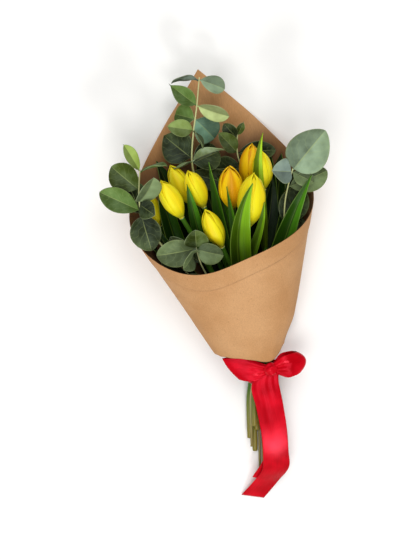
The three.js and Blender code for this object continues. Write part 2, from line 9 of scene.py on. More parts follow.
import logging
import math
from collections.abc import Callable
from dataclasses import dataclass
from enum import Enum
from functools import partial

import bmesh
import bpy
from mathutils import Matrix, Vector

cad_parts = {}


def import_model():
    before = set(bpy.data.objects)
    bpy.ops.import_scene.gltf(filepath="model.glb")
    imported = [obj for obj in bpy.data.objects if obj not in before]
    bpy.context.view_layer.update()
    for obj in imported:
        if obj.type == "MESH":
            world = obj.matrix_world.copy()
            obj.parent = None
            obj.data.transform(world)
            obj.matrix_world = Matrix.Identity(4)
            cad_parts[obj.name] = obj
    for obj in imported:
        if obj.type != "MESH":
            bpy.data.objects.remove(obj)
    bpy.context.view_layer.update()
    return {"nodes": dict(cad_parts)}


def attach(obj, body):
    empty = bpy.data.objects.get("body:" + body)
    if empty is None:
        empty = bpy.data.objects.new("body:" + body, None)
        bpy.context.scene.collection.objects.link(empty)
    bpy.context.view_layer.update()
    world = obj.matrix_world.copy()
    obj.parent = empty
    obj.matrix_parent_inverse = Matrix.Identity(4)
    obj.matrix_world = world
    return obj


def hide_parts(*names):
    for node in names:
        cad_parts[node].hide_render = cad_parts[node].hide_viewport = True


LOG = logging.getLogger("bunch")

MM = 0.001
REST_REACH = 200.0  # mm from the cone's point to the frame's origin, along the surface
JOIN = 1e-3  # mm, the distance at which vertices are merged
RIM_SHARE = 0.12  # of a stem's radius, the rim of its cut end
RIM_HEIGHT = 0.1  # mm
RIBBON_WIDTH = 33.0  # mm
SATIN_THICKNESS = 0.35  # mm, thicker than the real 0.2 mm to show as an edge

Place = Callable[[float, float], Vector]
Triple = tuple[float, float, float]


def clamp(x: float, low: float = 0.0, high: float = 1.0) -> float:
    """Keeps x between low and high."""
    return min(max(x, low), high)


def mix(a: float, b: float, share: float) -> float:
    """Goes from a to b as share goes from 0 to 1."""
    return a + (b - a) * share


def smooth(low: float, high: float, x: float) -> float:
    """Goes smoothly from 0 at low to 1 at high."""
    t = clamp((x - low) / (high - low))
    return t * t * (3 - 2 * t)


def hump(x: float, at: float, width: float) -> float:
    """A smooth hump of height 1 at a place."""
    return math.exp(-(((x - at) / width) ** 2))


# The shapes that the pieces follow


class Bend:
    """A Bezier curve through its first and last places."""

    def __init__(self, places: list[Vector]) -> None:
        """Keeps the curve's places."""
        self.places = places

    def point(self, t: float) -> Vector:
        """The place at a share of the curve.

        Args:
            t: The share, from 0 to 1.

        Returns:
            The place, in millimetres.
        """
        row = list(self.places)
        while len(row) > 1:
            row = [a.lerp(b, t) for a, b in zip(row, row[1:])]
        return row[0]

    def tangent(self, t: float) -> Vector:
        """The direction of the curve at a share t of it."""
        step = 1e-4
        return (self.point(min(t + step, 1)) - self.point(max(t - step, 0))).normalized()


class Line(Bend):
    """A smooth line through every one of its places, each an equal share of it apart."""

    def point(self, t: float) -> Vector:
        """The place at a share of the line, by centripetal Catmull-Rom.

        Args:
            t: The share, from 0 to 1.

        Returns:
            The place, in millimetres.
        """
        places = self.places
        last = len(places) - 1
        i = min(int(last * t), last - 1)
        share = last * t - i
        b, c = places[i], places[i + 1]
        a = places[i - 1] if i > 0 else 2 * b - c
        d = places[i + 2] if i + 2 <= last else 2 * c - b
        before, between, after = ((q - p).length ** 0.5 for p, q in ((a, b), (b, c), (c, d)))
        leave = ((b - a) / before - (c - a) / (before + between) + (c - b) / between) * between
        arrive = ((c - b) / between - (d - b) / (between + after) + (d - c) / after) * between
        square = share * share
        cube = square * share
        return (
            b * (2 * cube - 3 * square + 1)
            + leave * (cube - 2 * square + share)
            + c * (3 * square - 2 * cube)
            + arrive * (cube - square)
        )

    def length(self, steps: int = 60) -> float:
        """The line's length in millimetres."""
        points = [self.point(i / steps) for i in range(steps + 1)]
        return sum((q - p).length for p, q in zip(points, points[1:]))


@dataclass(frozen=True)
class Cone:
    """The rolled paper sheet's measures, in millimetres and radians. Turns start at its back's middle."""

    corner_reach: float = 457
    corner_turn: float = -0.018  # the corner lies a little left of the middle of the back
    half_slope: float = 0.336
    left_swell: float = 0.028
    depth: float = 0.74
    flat: float = 0.94
    edge_angle: float = math.radians(41.5)
    edge_turn: float = 0.341
    front_round: float = 0.25  # how far round the front the sheet's corner is eased
    rim_dips: tuple[Triple, ...] = ((0.097, -2.55, 0.92), (0.011, 0.62, 0.48))
    skirt_reach: float = 142
    skirt_dip: Triple = (15, 2.75, 0.6)
    tail_reach: float = 88
    gather_from: float = 178
    tie_reach: float = 100
    neck_half_width: float = 19.2
    neck_half_depth: float = 18.6
    band_reach: float = 31
    seam_turn: float = 0.1  # the middle of the part that is drawn in
    skirt_turns: tuple[float, float] = (0.75, 1.3)
    free_turns: tuple[float, float] = (1.3, 1.8)
    free_share: float = 0.85
    free_left: float = 0.15

    @property
    def rise(self) -> float:
        """The angle at which the cone's axis rises, because its flat back lies on the surface."""
        return math.atan(self.half_slope * self.depth * self.flat)

    def at(self, right: float, reach: float, front: float) -> Vector:
        """A place in the bunch.

        Args:
            right: The distance right of the axis.
            reach: The distance along the axis.
            front: The distance in front of the axis.

        Returns:
            The place, in millimetres.
        """
        sine, cosine = math.sin(self.rise), math.cos(self.rise)
        return Vector((right, reach * cosine - front * sine, reach * sine + front * cosine))

    @staticmethod
    def turn_from(turn: float, at: float) -> float:
        """How far one turn round the cone is from another, by the shorter way."""
        return (turn - at + math.pi) % (2 * math.pi) - math.pi

    @staticmethod
    def dip(turn: float, dip: Triple) -> float:
        """How deep a dip in an edge is at a turn.

        Args:
            turn: The turn round the cone.
            dip: The dip's depth, its turn and its width.

        Returns:
            The depth there.
        """
        depth, at, width = dip
        return depth * hump(Cone.turn_from(turn, at), 0, width)

    def rim(self, turn: float) -> float:
        """How far along the axis the sheet's upper edge lies.

        Args:
            turn: The turn round the cone.

        Returns:
            The reach there, from the cone's point.
        """
        away = abs(self.turn_from(turn, self.corner_turn))
        eased = math.hypot(math.pi, self.front_round) * (1 - away / math.pi) + away
        turned = eased - math.hypot(math.pi - away, self.front_round)
        angle = self.edge_angle + turned * self.edge_turn
        reach = self.corner_reach * math.sin(self.edge_angle) / math.sin(angle)
        for dip in self.rim_dips:
            reach *= 1 - self.dip(turn, dip)
        return reach

    def foot(self, turn: float) -> float:
        """How far along the axis the lower edge lies: low at the back, and a free skirt at the front."""
        skirt = self.skirt_reach - self.dip(turn, self.skirt_dip)
        return mix(self.tail_reach, skirt, smooth(*self.skirt_turns, abs(turn - self.seam_turn)))

    def drawn(self, turn: float, reach: float) -> float:
        """How far the paper is drawn in to the tie.

        Args:
            turn: The turn round the cone.
            reach: The distance along the axis.

        Returns:
            A share from 0 to 1.
        """
        free = self.free_share - self.free_left * math.sin(turn)
        free *= smooth(*self.free_turns, abs(turn - self.seam_turn))
        length = self.gather_from - self.tie_reach - self.band_reach
        return smooth(0, 1, (self.gather_from - reach) / length) * (1 - free)

    def paper(self, turn: float, reach: float) -> Vector:
        """A place on the paper's outer face.

        Args:
            turn: The turn round the cone.
            reach: The distance along the axis.

        Returns:
            The place, in millimetres.
        """
        slope = self.half_slope - self.left_swell * math.sin(turn)
        flat = self.flat if abs(turn) < math.acos(self.flat) else math.cos(turn)
        drawn = self.drawn(turn, reach)
        right = mix(reach * slope * math.sin(turn), self.neck_half_width * math.sin(turn), drawn)
        wide = -reach * self.half_slope * self.depth * flat
        return self.at(right, reach, mix(wide, -self.neck_half_depth * math.cos(turn), drawn))


CONE = Cone()


# The meshes


@dataclass(frozen=True)
class Layer:
    """How one sheet of a form is finished."""

    material: int = 0
    under: int | None = None  # the material of its under side, where it has one of its own
    thickness: float = 0.0
    tint: str = "#808080"
    wrap: bool = False  # joins its side edges


class Form:
    """A mesh in the making, with places in millimetres from the cone's point."""

    def __init__(self) -> None:
        """Starts an empty mesh with its UV map and tint."""
        self.mesh = bmesh.new()
        self.mesh.loops.layers.uv.new("UVMap")
        self.tint = self.mesh.loops.layers.float_color.new("tint")

    def dress(self, faces: list[bmesh.types.BMFace], material: int, tint: str) -> None:
        """Gives faces their material and their tint.

        Args:
            faces: The faces.
            material: The material's number.
            tint: The sRGB hex colour that leaves read.
        """
        colour = (*linear(tint), 1.0)
        for f in faces:
            f.material_index = material
            for loop in f.loops:
                loop[self.tint] = colour

    def sheet(
        self, place: Place, across: int, along: int, layer: Layer = Layer()
    ) -> list[bmesh.types.BMVert]:
        """Adds a grid and moves its vertices to the places of a surface.

        Args:
            place: The surface, with u from -1 to 1 across and v from 0 to 1 along.
            across: The number of faces across.
            along: The number of faces along.
            layer: The sheet's finish.

        Returns:
            The sheet's vertices, before it is given its thickness.
        """
        old = set(self.mesh.faces)
        made = bmesh.ops.create_grid(
            self.mesh, x_segments=across, y_segments=along, size=1.0, calc_uvs=True
        )
        verts = made["verts"]
        edge = [v for v in verts if abs(v.co.x) > 1 - 1e-5]
        for v in verts:
            v.co = place(v.co.x, (v.co.y + 1) / 2)
        if layer.wrap:
            bmesh.ops.remove_doubles(self.mesh, verts=edge, dist=JOIN)
            verts = [v for v in verts if v.is_valid]
        top = [f for f in self.mesh.faces if f not in old]
        if layer.thickness:
            self.mesh.normal_update()
            bmesh.ops.solidify(self.mesh, geom=top, thickness=layer.thickness)
        old.update(top)
        rest = [f for f in self.mesh.faces if f not in old]
        self.dress(top, layer.material, layer.tint)
        self.dress(rest, layer.material if layer.under is None else layer.under, layer.tint)
        for f in [*top, *rest]:
            f.smooth = True
        return verts

    def tube(
        self, line: Bend, radius: Callable[[float], float], sides: int, steps: int, layer: Layer
    ) -> None:
        """Adds a round stem along a line, closed at both ends by a face with a bevelled rim.

        Args:
            line: The line that it follows.
            radius: The radius at each share of the line.
            sides: The number of faces round it.
            steps: The number of faces along it.
            layer: The finish of its side, and under is the material of its ends.
        """
        points = [line.point(i / steps) for i in range(steps + 1)]
        tangents = [line.tangent(i / steps) for i in range(steps + 1)]
        normal = tangents[0].orthogonal().normalized()
        frames = []
        for tangent in tangents:
            normal = (normal - tangent * normal.dot(tangent)).normalized()
            frames.append((normal, tangent.cross(normal)))

        def place(u: float, v: float) -> Vector:
            """A place on the stem's side."""
            i = round(v * steps)
            normal, side = frames[i]
            return points[i] + (normal * math.cos(math.pi * u) + side * math.sin(math.pi * u)) * radius(v)

        verts = self.sheet(place, sides, steps, Layer(layer.material, tint=layer.tint, wrap=True))
        ring = {e for v in verts for e in v.link_edges if e.is_boundary}
        caps = bmesh.ops.holes_fill(self.mesh, edges=list(ring), sides=0)["faces"]
        rim = radius(0) * RIM_SHARE
        rims = bmesh.ops.inset_individual(self.mesh, faces=caps, thickness=rim, depth=RIM_HEIGHT)["faces"]
        self.dress([*caps, *rims], layer.material if layer.under is None else layer.under, layer.tint)

    def turned(self, matrix: Matrix) -> None:
        """Turns and moves the whole form."""
        bmesh.ops.transform(self.mesh, matrix=matrix, verts=self.mesh.verts)

    def finish(self, name: str, materials: list[bpy.types.Material]) -> bpy.types.Object:
        """Makes the form an object in the frame, in metres.

        Args:
            name: The object's name.
            materials: Its materials, in the order of the layers' numbers.

        Returns:
            The object, which rides on the only body.
        """
        bmesh.ops.translate(self.mesh, vec=(0, -REST_REACH, 0), verts=self.mesh.verts)
        bmesh.ops.scale(self.mesh, vec=(MM, MM, MM), verts=self.mesh.verts)
        self.mesh.normal_update()
        data = bpy.data.meshes.new(name)
        self.mesh.to_mesh(data)
        self.mesh.free()
        for material in materials:
            data.materials.append(material)
        piece = bpy.data.objects.new(name, data)
        bpy.context.collection.objects.link(piece)
        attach(piece, "root")
        LOG.info("%s: %d faces", name, len(data.polygons))
        return piece


# The finishes


Adder = Callable[..., bpy.types.NodeSocket]
Look = tuple[bpy.types.NodeSocket, dict[str, object]]

SMOOTH = {"interpolation_type": "SMOOTHSTEP"}
COLOURS = {"data_type": "RGBA", "output": 2}  # for a Mix node that mixes colours, and its result
FIRST, SECOND = 6, 7  # the inputs for those colours


def linear(colour: str) -> Triple:
    """Turns an sRGB hex colour to linear light.

    Args:
        colour: The colour, such as "#c8986a".

    Returns:
        Its linear red, green and blue.
    """
    shares = (int(colour[i : i + 2], 16) / 255 for i in (1, 3, 5))
    return tuple(c / 12.92 if c <= 0.04045 else ((c + 0.055) / 1.055) ** 2.4 for c in shares)


def add_node(
    tree: bpy.types.NodeTree,
    kind: str,
    inputs: dict[str | int, object] | tuple[object, ...] = (),
    output: int | str = 0,
    **settings: object,
) -> bpy.types.NodeSocket | None:
    """Adds a node with its settings and links.

    Args:
        tree: The material's nodes.
        kind: The node's type, without the words that all of them start with.
        inputs: What each input is, by its name or in the node's own order: a socket to link, a hex colour,
            or a value.
        output: Which output is wanted.
        settings: The node's own settings. "stops" gives a ramp's places and colours.

    Returns:
        That output's socket, or None where the node has none.
    """
    node = tree.nodes.new("ShaderNode" + kind)
    for name, value in settings.items():
        if name == "stops":
            ramp = node.color_ramp
            while len(ramp.elements) < len(value):
                ramp.elements.new(0.5)
            for element, (position, colour) in zip(ramp.elements, value):
                element.position = position
                element.color = (*linear(colour), 1)
        else:
            setattr(node, name, value)
    for name, value in inputs.items() if isinstance(inputs, dict) else enumerate(inputs):
        if isinstance(value, bpy.types.NodeSocket):
            tree.links.new(value, node.inputs[name])
        else:
            colour = isinstance(value, str)
            node.inputs[name].default_value = (*linear(value), 1) if colour else value
    return node.outputs[output] if node.outputs else None


def new_material(name: str) -> tuple[bpy.types.Material, Adder]:
    """Starts a material with no nodes.

    Args:
        name: The material's name.

    Returns:
        The material, and what adds a node to it.
    """
    material = bpy.data.materials.new(name)
    material.use_nodes = True
    material.node_tree.nodes.clear()
    return material, partial(add_node, material.node_tree)


def strip_map(node: Adder) -> tuple[bpy.types.NodeSocket, ...]:
    """Reads the UV map of a leaf, a petal or a ribbon.

    Args:
        node: What adds a node to the material.

    Returns:
        The map, the shares across and along it, and how far a place is from its middle line.
    """
    uv = node("UVMap", uv_map="UVMap")
    across, along = node("SeparateXYZ", (uv,)).node.outputs[:2]
    away = node("Math", (across, 0.5), operation="SUBTRACT")
    return uv, across, along, node("Math", (away,), operation="ABSOLUTE")


def streaks(node: Adder, uv: bpy.types.NodeSocket, stretch: Triple, detail: float) -> bpy.types.NodeSocket:
    """Noise that is drawn out into streaks along a map."""
    stretched = node("Mapping", {"Vector": uv, "Scale": stretch})
    return node("TexNoise", {"Vector": stretched, "Scale": 1.0, "Detail": detail})


@dataclass(frozen=True, kw_only=True)
class Finish:
    """What every finish has: how rough and shiny its face is, and how high its grain stands."""

    name: str
    roughness: float
    shine: float = 0.5
    grain: float  # the strength of its relief
    grain_height: float = 0.0004  # m

    def draw(self, node: Adder) -> Look:
        """Adds the nodes that draw the finish.

        Args:
            node: What adds a node to the material.

        Returns:
            The height of the grain, and the shader's own inputs.
        """
        raise NotImplementedError

    def make(self) -> bpy.types.Material:
        """Makes the material: its own nodes, the relief of its grain and its shader.

        Returns:
            The material.
        """
        material, node = new_material(self.name)
        height, own = self.draw(node)
        bump = node("Bump", {"Height": height, "Strength": self.grain, "Distance": self.grain_height})
        shared = {"Normal": bump, "Roughness": self.roughness, "Specular IOR Level": self.shine}
        node("OutputMaterial", {"Surface": node("BsdfPrincipled", shared | own)})
        return material


@dataclass(frozen=True, kw_only=True)
class PetalFinish(Finish):
    """A closed tulip's petal: thin and waxy, so light glows in it, with fine veins from base to tip."""

    edge: str
    middle: str
    blush: float
    base: str = "#b4bd2c"
    wide: float = 25  # mm, about
    vein_spacing: float = 0.9  # mm
    roughness: float = 0.42
    shine: float = 0.18
    grain: float = 0.35

    def draw(self, node: Adder) -> Look:
        """Draws a warm stripe along the middle of the petal and a green foot, on its own UV map.

        Args:
            node: What adds a node to the material.

        Returns:
            The height of the grain, and the shader's own inputs.
        """
        uv, _, along, away = strip_map(node)
        warp = node("TexNoise", {"Vector": uv, "Scale": 2.5, "Detail": 2.0})
        veins = streaks(node, uv, (self.wide / self.vein_spacing, 1.6, 1), 3.0)
        ragged = node("Math", (warp, 0.22, away), operation="MULTIPLY_ADD")
        stripe = node("MapRange", (ragged, 0.16, 0.42, self.blush, 0.0), **SMOOTH)
        upper = node("MapRange", (along, 0.02, 0.3), **SMOOTH)
        stripe = node("Math", (stripe, upper), operation="MULTIPLY")
        colour = node("Mix", {0: stripe, FIRST: self.edge, SECOND: self.middle}, **COLOURS)
        foot = node("Math", (warp, 0.16, along), operation="MULTIPLY_ADD")
        foot = node("MapRange", (foot, 0.08, 0.27, 0.85, 0.0), **SMOOTH)
        colour = node("Mix", {0: foot, FIRST: colour, SECOND: self.base}, **COLOURS)
        light = node("MapRange", (veins, 0.3, 0.7, 0.9, 1.06))
        return veins, {
            "Base Color": node("HueSaturation", {"Color": colour, "Value": light}),
            "Subsurface Weight": 0.12,
            "Subsurface Radius": (0.004, 0.003, 0.001),
            "Subsurface Scale": 0.6,
        }


@dataclass(frozen=True, kw_only=True)
class TulipLeafFinish(Finish):
    """A tulip's leaf: waxy, with straight veins along its whole length, with painted shade at its foot and on
    one half.
    """

    name: str = "tulip_leaf_waxy"
    veins: float = 26.0  # across the blade
    margin: str = "#8fae3c"
    wax: str = "#7f9a72"
    dim: float = 0.36  # the light on the shaded half
    bright: float = 1.15
    low: float = 0.2  # and the painted light at the leaf's foot: painted shade, deep in the bunch
    roughness: float = 0.46
    shine: float = 0.22
    grain: float = 0.45
    grain_height: float = 0.0005

    def draw(self, node: Adder) -> Look:
        """Draws the leaf on its own UV map and tint.

        Args:
            node: What adds a node to the material.

        Returns:
            The height of the grain, and the shader's own inputs.
        """
        tint = node("Attribute", attribute_name="tint")
        uv, across, along, away = strip_map(node)
        patch = node("TexNoise", {"Vector": uv, "Scale": 3.0, "Detail": 3.0})
        veins = streaks(node, uv, (self.veins, 1.2, 1), 2.0)
        rim = node("MapRange", (away, 0.46, 0.5, 0.0, 0.35), **SMOOTH)
        rib = node("MapRange", (away, 0.0, 0.04, 0.22, 0.0), **SMOOTH)
        pale = node("Math", (rim, rib), operation="MAXIMUM")
        # Painted light and shade: darker towards the foot and on one half of the fold, lighter towards the
        # tip and on the other half; the streaks are the veins.
        light = node("MapRange", (along, 0.3, 0.85, self.low, self.bright))
        streak = node("MapRange", (veins, 0.3, 0.7, 0.8, 1.18))
        half = node("MapRange", (across, 0.56, 0.63, self.dim, self.bright))
        for share in (streak, half):
            light = node("Math", (light, share), operation="MULTIPLY")
        colour = node("HueSaturation", {"Color": tint, "Value": light})
        wax = node("MapRange", (patch, 0.5, 0.8, 0.0, 0.08))
        colour = node("Mix", {0: wax, FIRST: colour, SECOND: self.wax}, **COLOURS)
        return veins, {
            "Base Color": node("Mix", {0: pale, FIRST: colour, SECOND: self.margin}, **COLOURS),
            "Roughness": node("MapRange", (patch, 0.3, 0.7, 0.3, self.roughness)),
            "Subsurface Weight": 0.06,
            "Subsurface Radius": (0.001, 0.003, 0.0005),
            "Subsurface Scale": 0.5,
        }


@dataclass(frozen=True, kw_only=True)
class GumLeafFinish(Finish):
    """A eucalyptus leaf: leathery under a pale bloom of wax, with a light rib and side veins that curve
    forward. Its tip and margin are yellower than its foot, as a leaf that has aged in the light.
    """

    wax: float
    rib: str = "#a8b570"
    young: str = "#76893c"
    bloom: str = "#a9bdb0"
    side_veins: float = 7.0
    dim: float = 0.62  # the light on the shaded half
    bright: float = 1.16
    roughness: float = 0.46
    shine: float = 0.08
    grain: float = 0.35

    def draw(self, node: Adder) -> Look:
        """Draws the leaf on its own UV map and tint.

        Args:
            node: What adds a node to the material.

        Returns:
            The height of the grain, and the shader's own inputs.
        """
        tint = node("Attribute", attribute_name="tint")
        uv, across, along, away = strip_map(node)
        place = node("TexCoord", output="Object")
        cloud = node("TexNoise", {"Vector": place, "Scale": 70.0, "Detail": 3.0})
        grain = node("TexNoise", {"Vector": place, "Scale": 900.0, "Detail": 2.0})
        bent = node("TexNoise", {"Vector": uv, "Scale": 5.0, "Detail": 1.0})
        ahead = node("Math", (away, -0.55, along), operation="MULTIPLY_ADD")
        ahead = node("Math", (bent, 0.22, ahead), operation="MULTIPLY_ADD")
        waves = node("Math", (ahead, self.side_veins * 2 * math.pi), operation="MULTIPLY")
        waves = node("Math", (waves,), operation="COSINE")
        lines = node("MapRange", (away, 0.004, 0.022, 0.4, 0.0), **SMOOTH)
        side = node("MapRange", (waves, 0.88, 1.0, 0.0, 0.1), **SMOOTH)
        margin = node("MapRange", (away, 0.465, 0.5, 0.0, 0.24), **SMOOTH)
        for line in (side, margin):
            lines = node("Math", (lines, line), operation="MAXIMUM")
        far = node("Math", (cloud, 0.8, along), operation="MULTIPLY_ADD")
        far = node("Math", (away, 0.7, far), operation="MULTIPLY_ADD")
        aged = node("MapRange", (far, 0.85, 1.6, 0.0, 0.16), **SMOOTH)
        colour = node("Mix", {0: aged, FIRST: tint, SECOND: self.young}, **COLOURS)
        light = node("MapRange", (cloud, 0.3, 0.7, 0.74, 1.18))
        # Painted shade on one half of the leaf, and painted light on the other.
        half = node("MapRange", (across, 0.47, 0.53, self.dim, self.bright))
        light = node("Math", (light, half), operation="MULTIPLY")
        colour = node("HueSaturation", {"Color": colour, "Value": light})
        wax = node("MapRange", (cloud, 0.4, 0.7, 0.0, self.wax))
        colour = node("Mix", {0: wax, FIRST: colour, SECOND: self.bloom}, **COLOURS)
        colour = node("Mix", {0: lines, FIRST: colour, SECOND: self.rib}, **COLOURS)
        height = node("Math", (lines, -1.0, grain), operation="MULTIPLY_ADD")
        return height, {"Base Color": colour}


@dataclass(frozen=True, kw_only=True)
class StemFinish(Finish):
    """A fresh stem: smooth and faintly ribbed, greener under the flowers than at its cut end."""

    upper: str
    lower: str
    ribs: float = 9.0
    roughness: float = 0.42
    shine: float = 0.4
    grain: float = 0.3

    def draw(self, node: Adder) -> Look:
        """Draws the stem on its own UV map.

        Args:
            node: What adds a node to the material.

        Returns:
            The height of the grain, and the shader's own inputs.
        """
        uv = node("UVMap", uv_map="UVMap")
        along = node("SeparateXYZ", (uv,), "Y")
        ribs = streaks(node, uv, (self.ribs, 9.0, 1), 2.0)
        share = node("MapRange", (along, 0.03, 0.3))
        colour = node("Mix", {0: share, FIRST: self.lower, SECOND: self.upper}, **COLOURS)
        light = node("MapRange", (ribs, 0.3, 0.7, 0.82, 1.15))
        return ribs, {"Base Color": node("HueSaturation", {"Color": colour, "Value": light})}


@dataclass(frozen=True, kw_only=True)
class PithFinish(Finish):
    """A stem's cut end: wet pale pith, speckled by the tubes that carry its sap."""

    name: str = "stem_pith_cut"
    roughness: float = 0.3
    grain: float = 0.3
    grain_height: float = 0.0003

    def draw(self, node: Adder) -> Look:
        """Draws the tubes on Object coordinates.

        Args:
            node: What adds a node to the material.

        Returns:
            The height of the grain, and the shader's own inputs.
        """
        place = node("TexCoord", output="Object")
        tubes = node("TexVoronoi", {"Vector": place, "Scale": 1400.0})
        stops = ((0.15, "#7c8a3e"), (0.4, "#c3cc8e"), (1.0, "#d6dca8"))
        return tubes, {"Base Color": node("ValToRGB", (tubes,), stops=stops)}


@dataclass(frozen=True, kw_only=True)
class KraftFinish(Finish):
    """Brown kraft paper: unbleached pulp, matt, with long fibres, dark flecks and faint rolling creases."""

    name: str = "kraft_paper"
    pulp: str = "#c99a6b"
    shade: str = "#b88655"
    fleck: str = "#8f6236"
    # the colour of the painted shade inside the cone
    painted_shade_colour: str = "#4c2f1a"
    painted_shade: float = 0.0  # how far painted shade darkens it, below the flowers
    painted_shade_edge: tuple[float, float] = (0.17, 0.22)  # m, along the bunch, where the painted shade fades out
    roughness: float = 0.82
    shine: float = 0.25
    grain: float = 0.3
    grain_height: float = 0.0006

    def draw(self, node: Adder) -> Look:
        """Draws the paper on Object coordinates. The fibres are coarser than the real ones, to show.

        Args:
            node: What adds a node to the material.

        Returns:
            The height of the grain, and the shader's own inputs.
        """
        place = node("TexCoord", output="Object")
        cloud = node("TexNoise", {"Vector": place, "Scale": 14.0, "Detail": 4.0})
        long = node("Mapping", {"Vector": place, "Rotation": (0, 0, 0.5), "Scale": (1, 0.16, 1)})
        fibres = node("TexNoise", {"Vector": long, "Scale": 1100.0, "Detail": 3.0, "Distortion": 0.8})
        cross = node("Mapping", {"Vector": place, "Rotation": (0, 0, -0.9), "Scale": (1, 0.2, 1)})
        threads = node("TexNoise", {"Vector": cross, "Scale": 700.0, "Detail": 2.0, "Distortion": 1.2})
        flecks = node("MapRange", (threads, 0.66, 0.74, 0.0, 0.5))
        tone = node("MapRange", (cloud, 0.35, 0.65))
        colour = node("Mix", {0: tone, FIRST: self.pulp, SECOND: self.shade}, **COLOURS)
        light = node("MapRange", (fibres, 0.3, 0.7, 0.9, 1.1))
        colour = node("HueSaturation", {"Color": colour, "Value": light})
        colour = node("Mix", {0: flecks, FIRST: colour, SECOND: self.fleck}, **COLOURS)
        # Painted shade: the paper darkens below the flowers, with a ragged edge, for the shade deep inside
        # the cone.
        if self.painted_shade:
            up = node("SeparateXYZ", (place,), "Y")
            edge = node("Math", (cloud, 0.03, up), operation="MULTIPLY_ADD")
            painted_shade = node("MapRange", (edge, *self.painted_shade_edge, self.painted_shade, 0.0), **SMOOTH)
            colour = node("Mix", {0: painted_shade, FIRST: colour, SECOND: self.painted_shade_colour}, **COLOURS)
        creases = node("TexNoise", {"Vector": place, "Scale": 22.0, "Detail": 1.0, "Distortion": 0.6})
        return node("Math", (creases, 5.0, fibres), operation="MULTIPLY_ADD"), {"Base Color": colour}


@dataclass(frozen=True, kw_only=True)
class SatinFinish(Finish):
    """Red polyester satin: long floats of bright yarn, so its folds shine softly along their crests."""

    name: str = "red_satin"
    deep: str = "#ac000b"
    bright: str = "#d20a1e"
    thread_spacing: float = 0.8  # mm, coarser than the real 0.2 mm to show
    roughness: float = 0.24
    shine: float = 0.7
    grain: float = 0.2
    grain_height: float = 0.0003

    def draw(self, node: Adder) -> Look:
        """Draws the weave and the selvedges on the ribbon's own UV map.

        Args:
            node: What adds a node to the material.

        Returns:
            The height of the grain, and the shader's own inputs.
        """
        uv, _, _, away = strip_map(node)
        place = node("TexCoord", output="Object")
        weave = streaks(node, uv, (RIBBON_WIDTH / self.thread_spacing, 7.0, 1), 2.0)
        cloud = node("TexNoise", {"Vector": place, "Scale": 35.0, "Detail": 2.0})
        selvedge = node("MapRange", (away, 0.47, 0.48))
        tone = node("MapRange", (cloud, 0.35, 0.65))
        colour = node("Mix", {0: tone, FIRST: self.deep, SECOND: self.bright}, **COLOURS)
        light = node("MapRange", (weave, 0.3, 0.7, 0.9, 1.1))
        return node("Math", (selvedge, 0.8, weave), operation="MULTIPLY_ADD"), {
            "Base Color": node("HueSaturation", {"Color": colour, "Value": light}),
            "Specular Tint": (1.0, 0.06, 0.12, 1.0),
        }


@dataclass(frozen=True, kw_only=True)
class RubberFinish(Finish):
    """A natural rubber band: tan, with a dusty matt face."""

    name: str = "natural_rubber"
    roughness: float = 0.6
    grain: float = 0.25
    grain_height: float = 0.0003

    def draw(self, node: Adder) -> Look:
        """Draws the dust on Object coordinates.

        Args:
            node: What adds a node to the material.

        Returns:
            The height of the grain, and the shader's own inputs.
        """
        place = node("TexCoord", output="Object")
        dust = node("TexNoise", {"Vector": place, "Scale": 260.0, "Detail": 3.0})
        colour = node("ValToRGB", (dust,), stops=((0.35, "#a5763a"), (0.65, "#bd8f52")))
        return dust, {"Base Color": colour}


class Palette:
    """Every finish of the bunch, each made once."""

    def __init__(self) -> None:
        """Makes the materials."""
        yellow = PetalFinish(name="petal_yellow", edge="#f2e21c", middle="#efc60a", blush=0.45)
        orange = PetalFinish(name="petal_orange", edge="#f8c80e", middle="#d8920a", blush=0.85)
        tulip_stem = StemFinish(name="tulip_stem_fresh", upper="#3f6a14", lower="#80762c")
        gum_stem = StemFinish(name="eucalyptus_stem_young", upper="#bcbf84", lower="#80743c")
        self.yellow, self.orange = yellow.make(), orange.make()
        self.tulip_leaf = TulipLeafFinish().make()
        self.gum_leaf = GumLeafFinish(name="eucalyptus_leaf_face", wax=0.08).make()
        self.gum_back = GumLeafFinish(name="eucalyptus_leaf_back", wax=0.4, rib="#bac68c").make()
        self.tulip_stem, self.gum_stem = tulip_stem.make(), gum_stem.make()
        self.pith = PithFinish().make()
        self.kraft = KraftFinish().make()
        # the kraft for the cone's inner face, with painted shade below the flowers
        self.painted_shade_kraft = KraftFinish(name="kraft_paper_painted_shade", painted_shade=0.8).make()
        self.satin = SatinFinish().make()
        self.rubber = RubberFinish().make()


# The stems at the tie


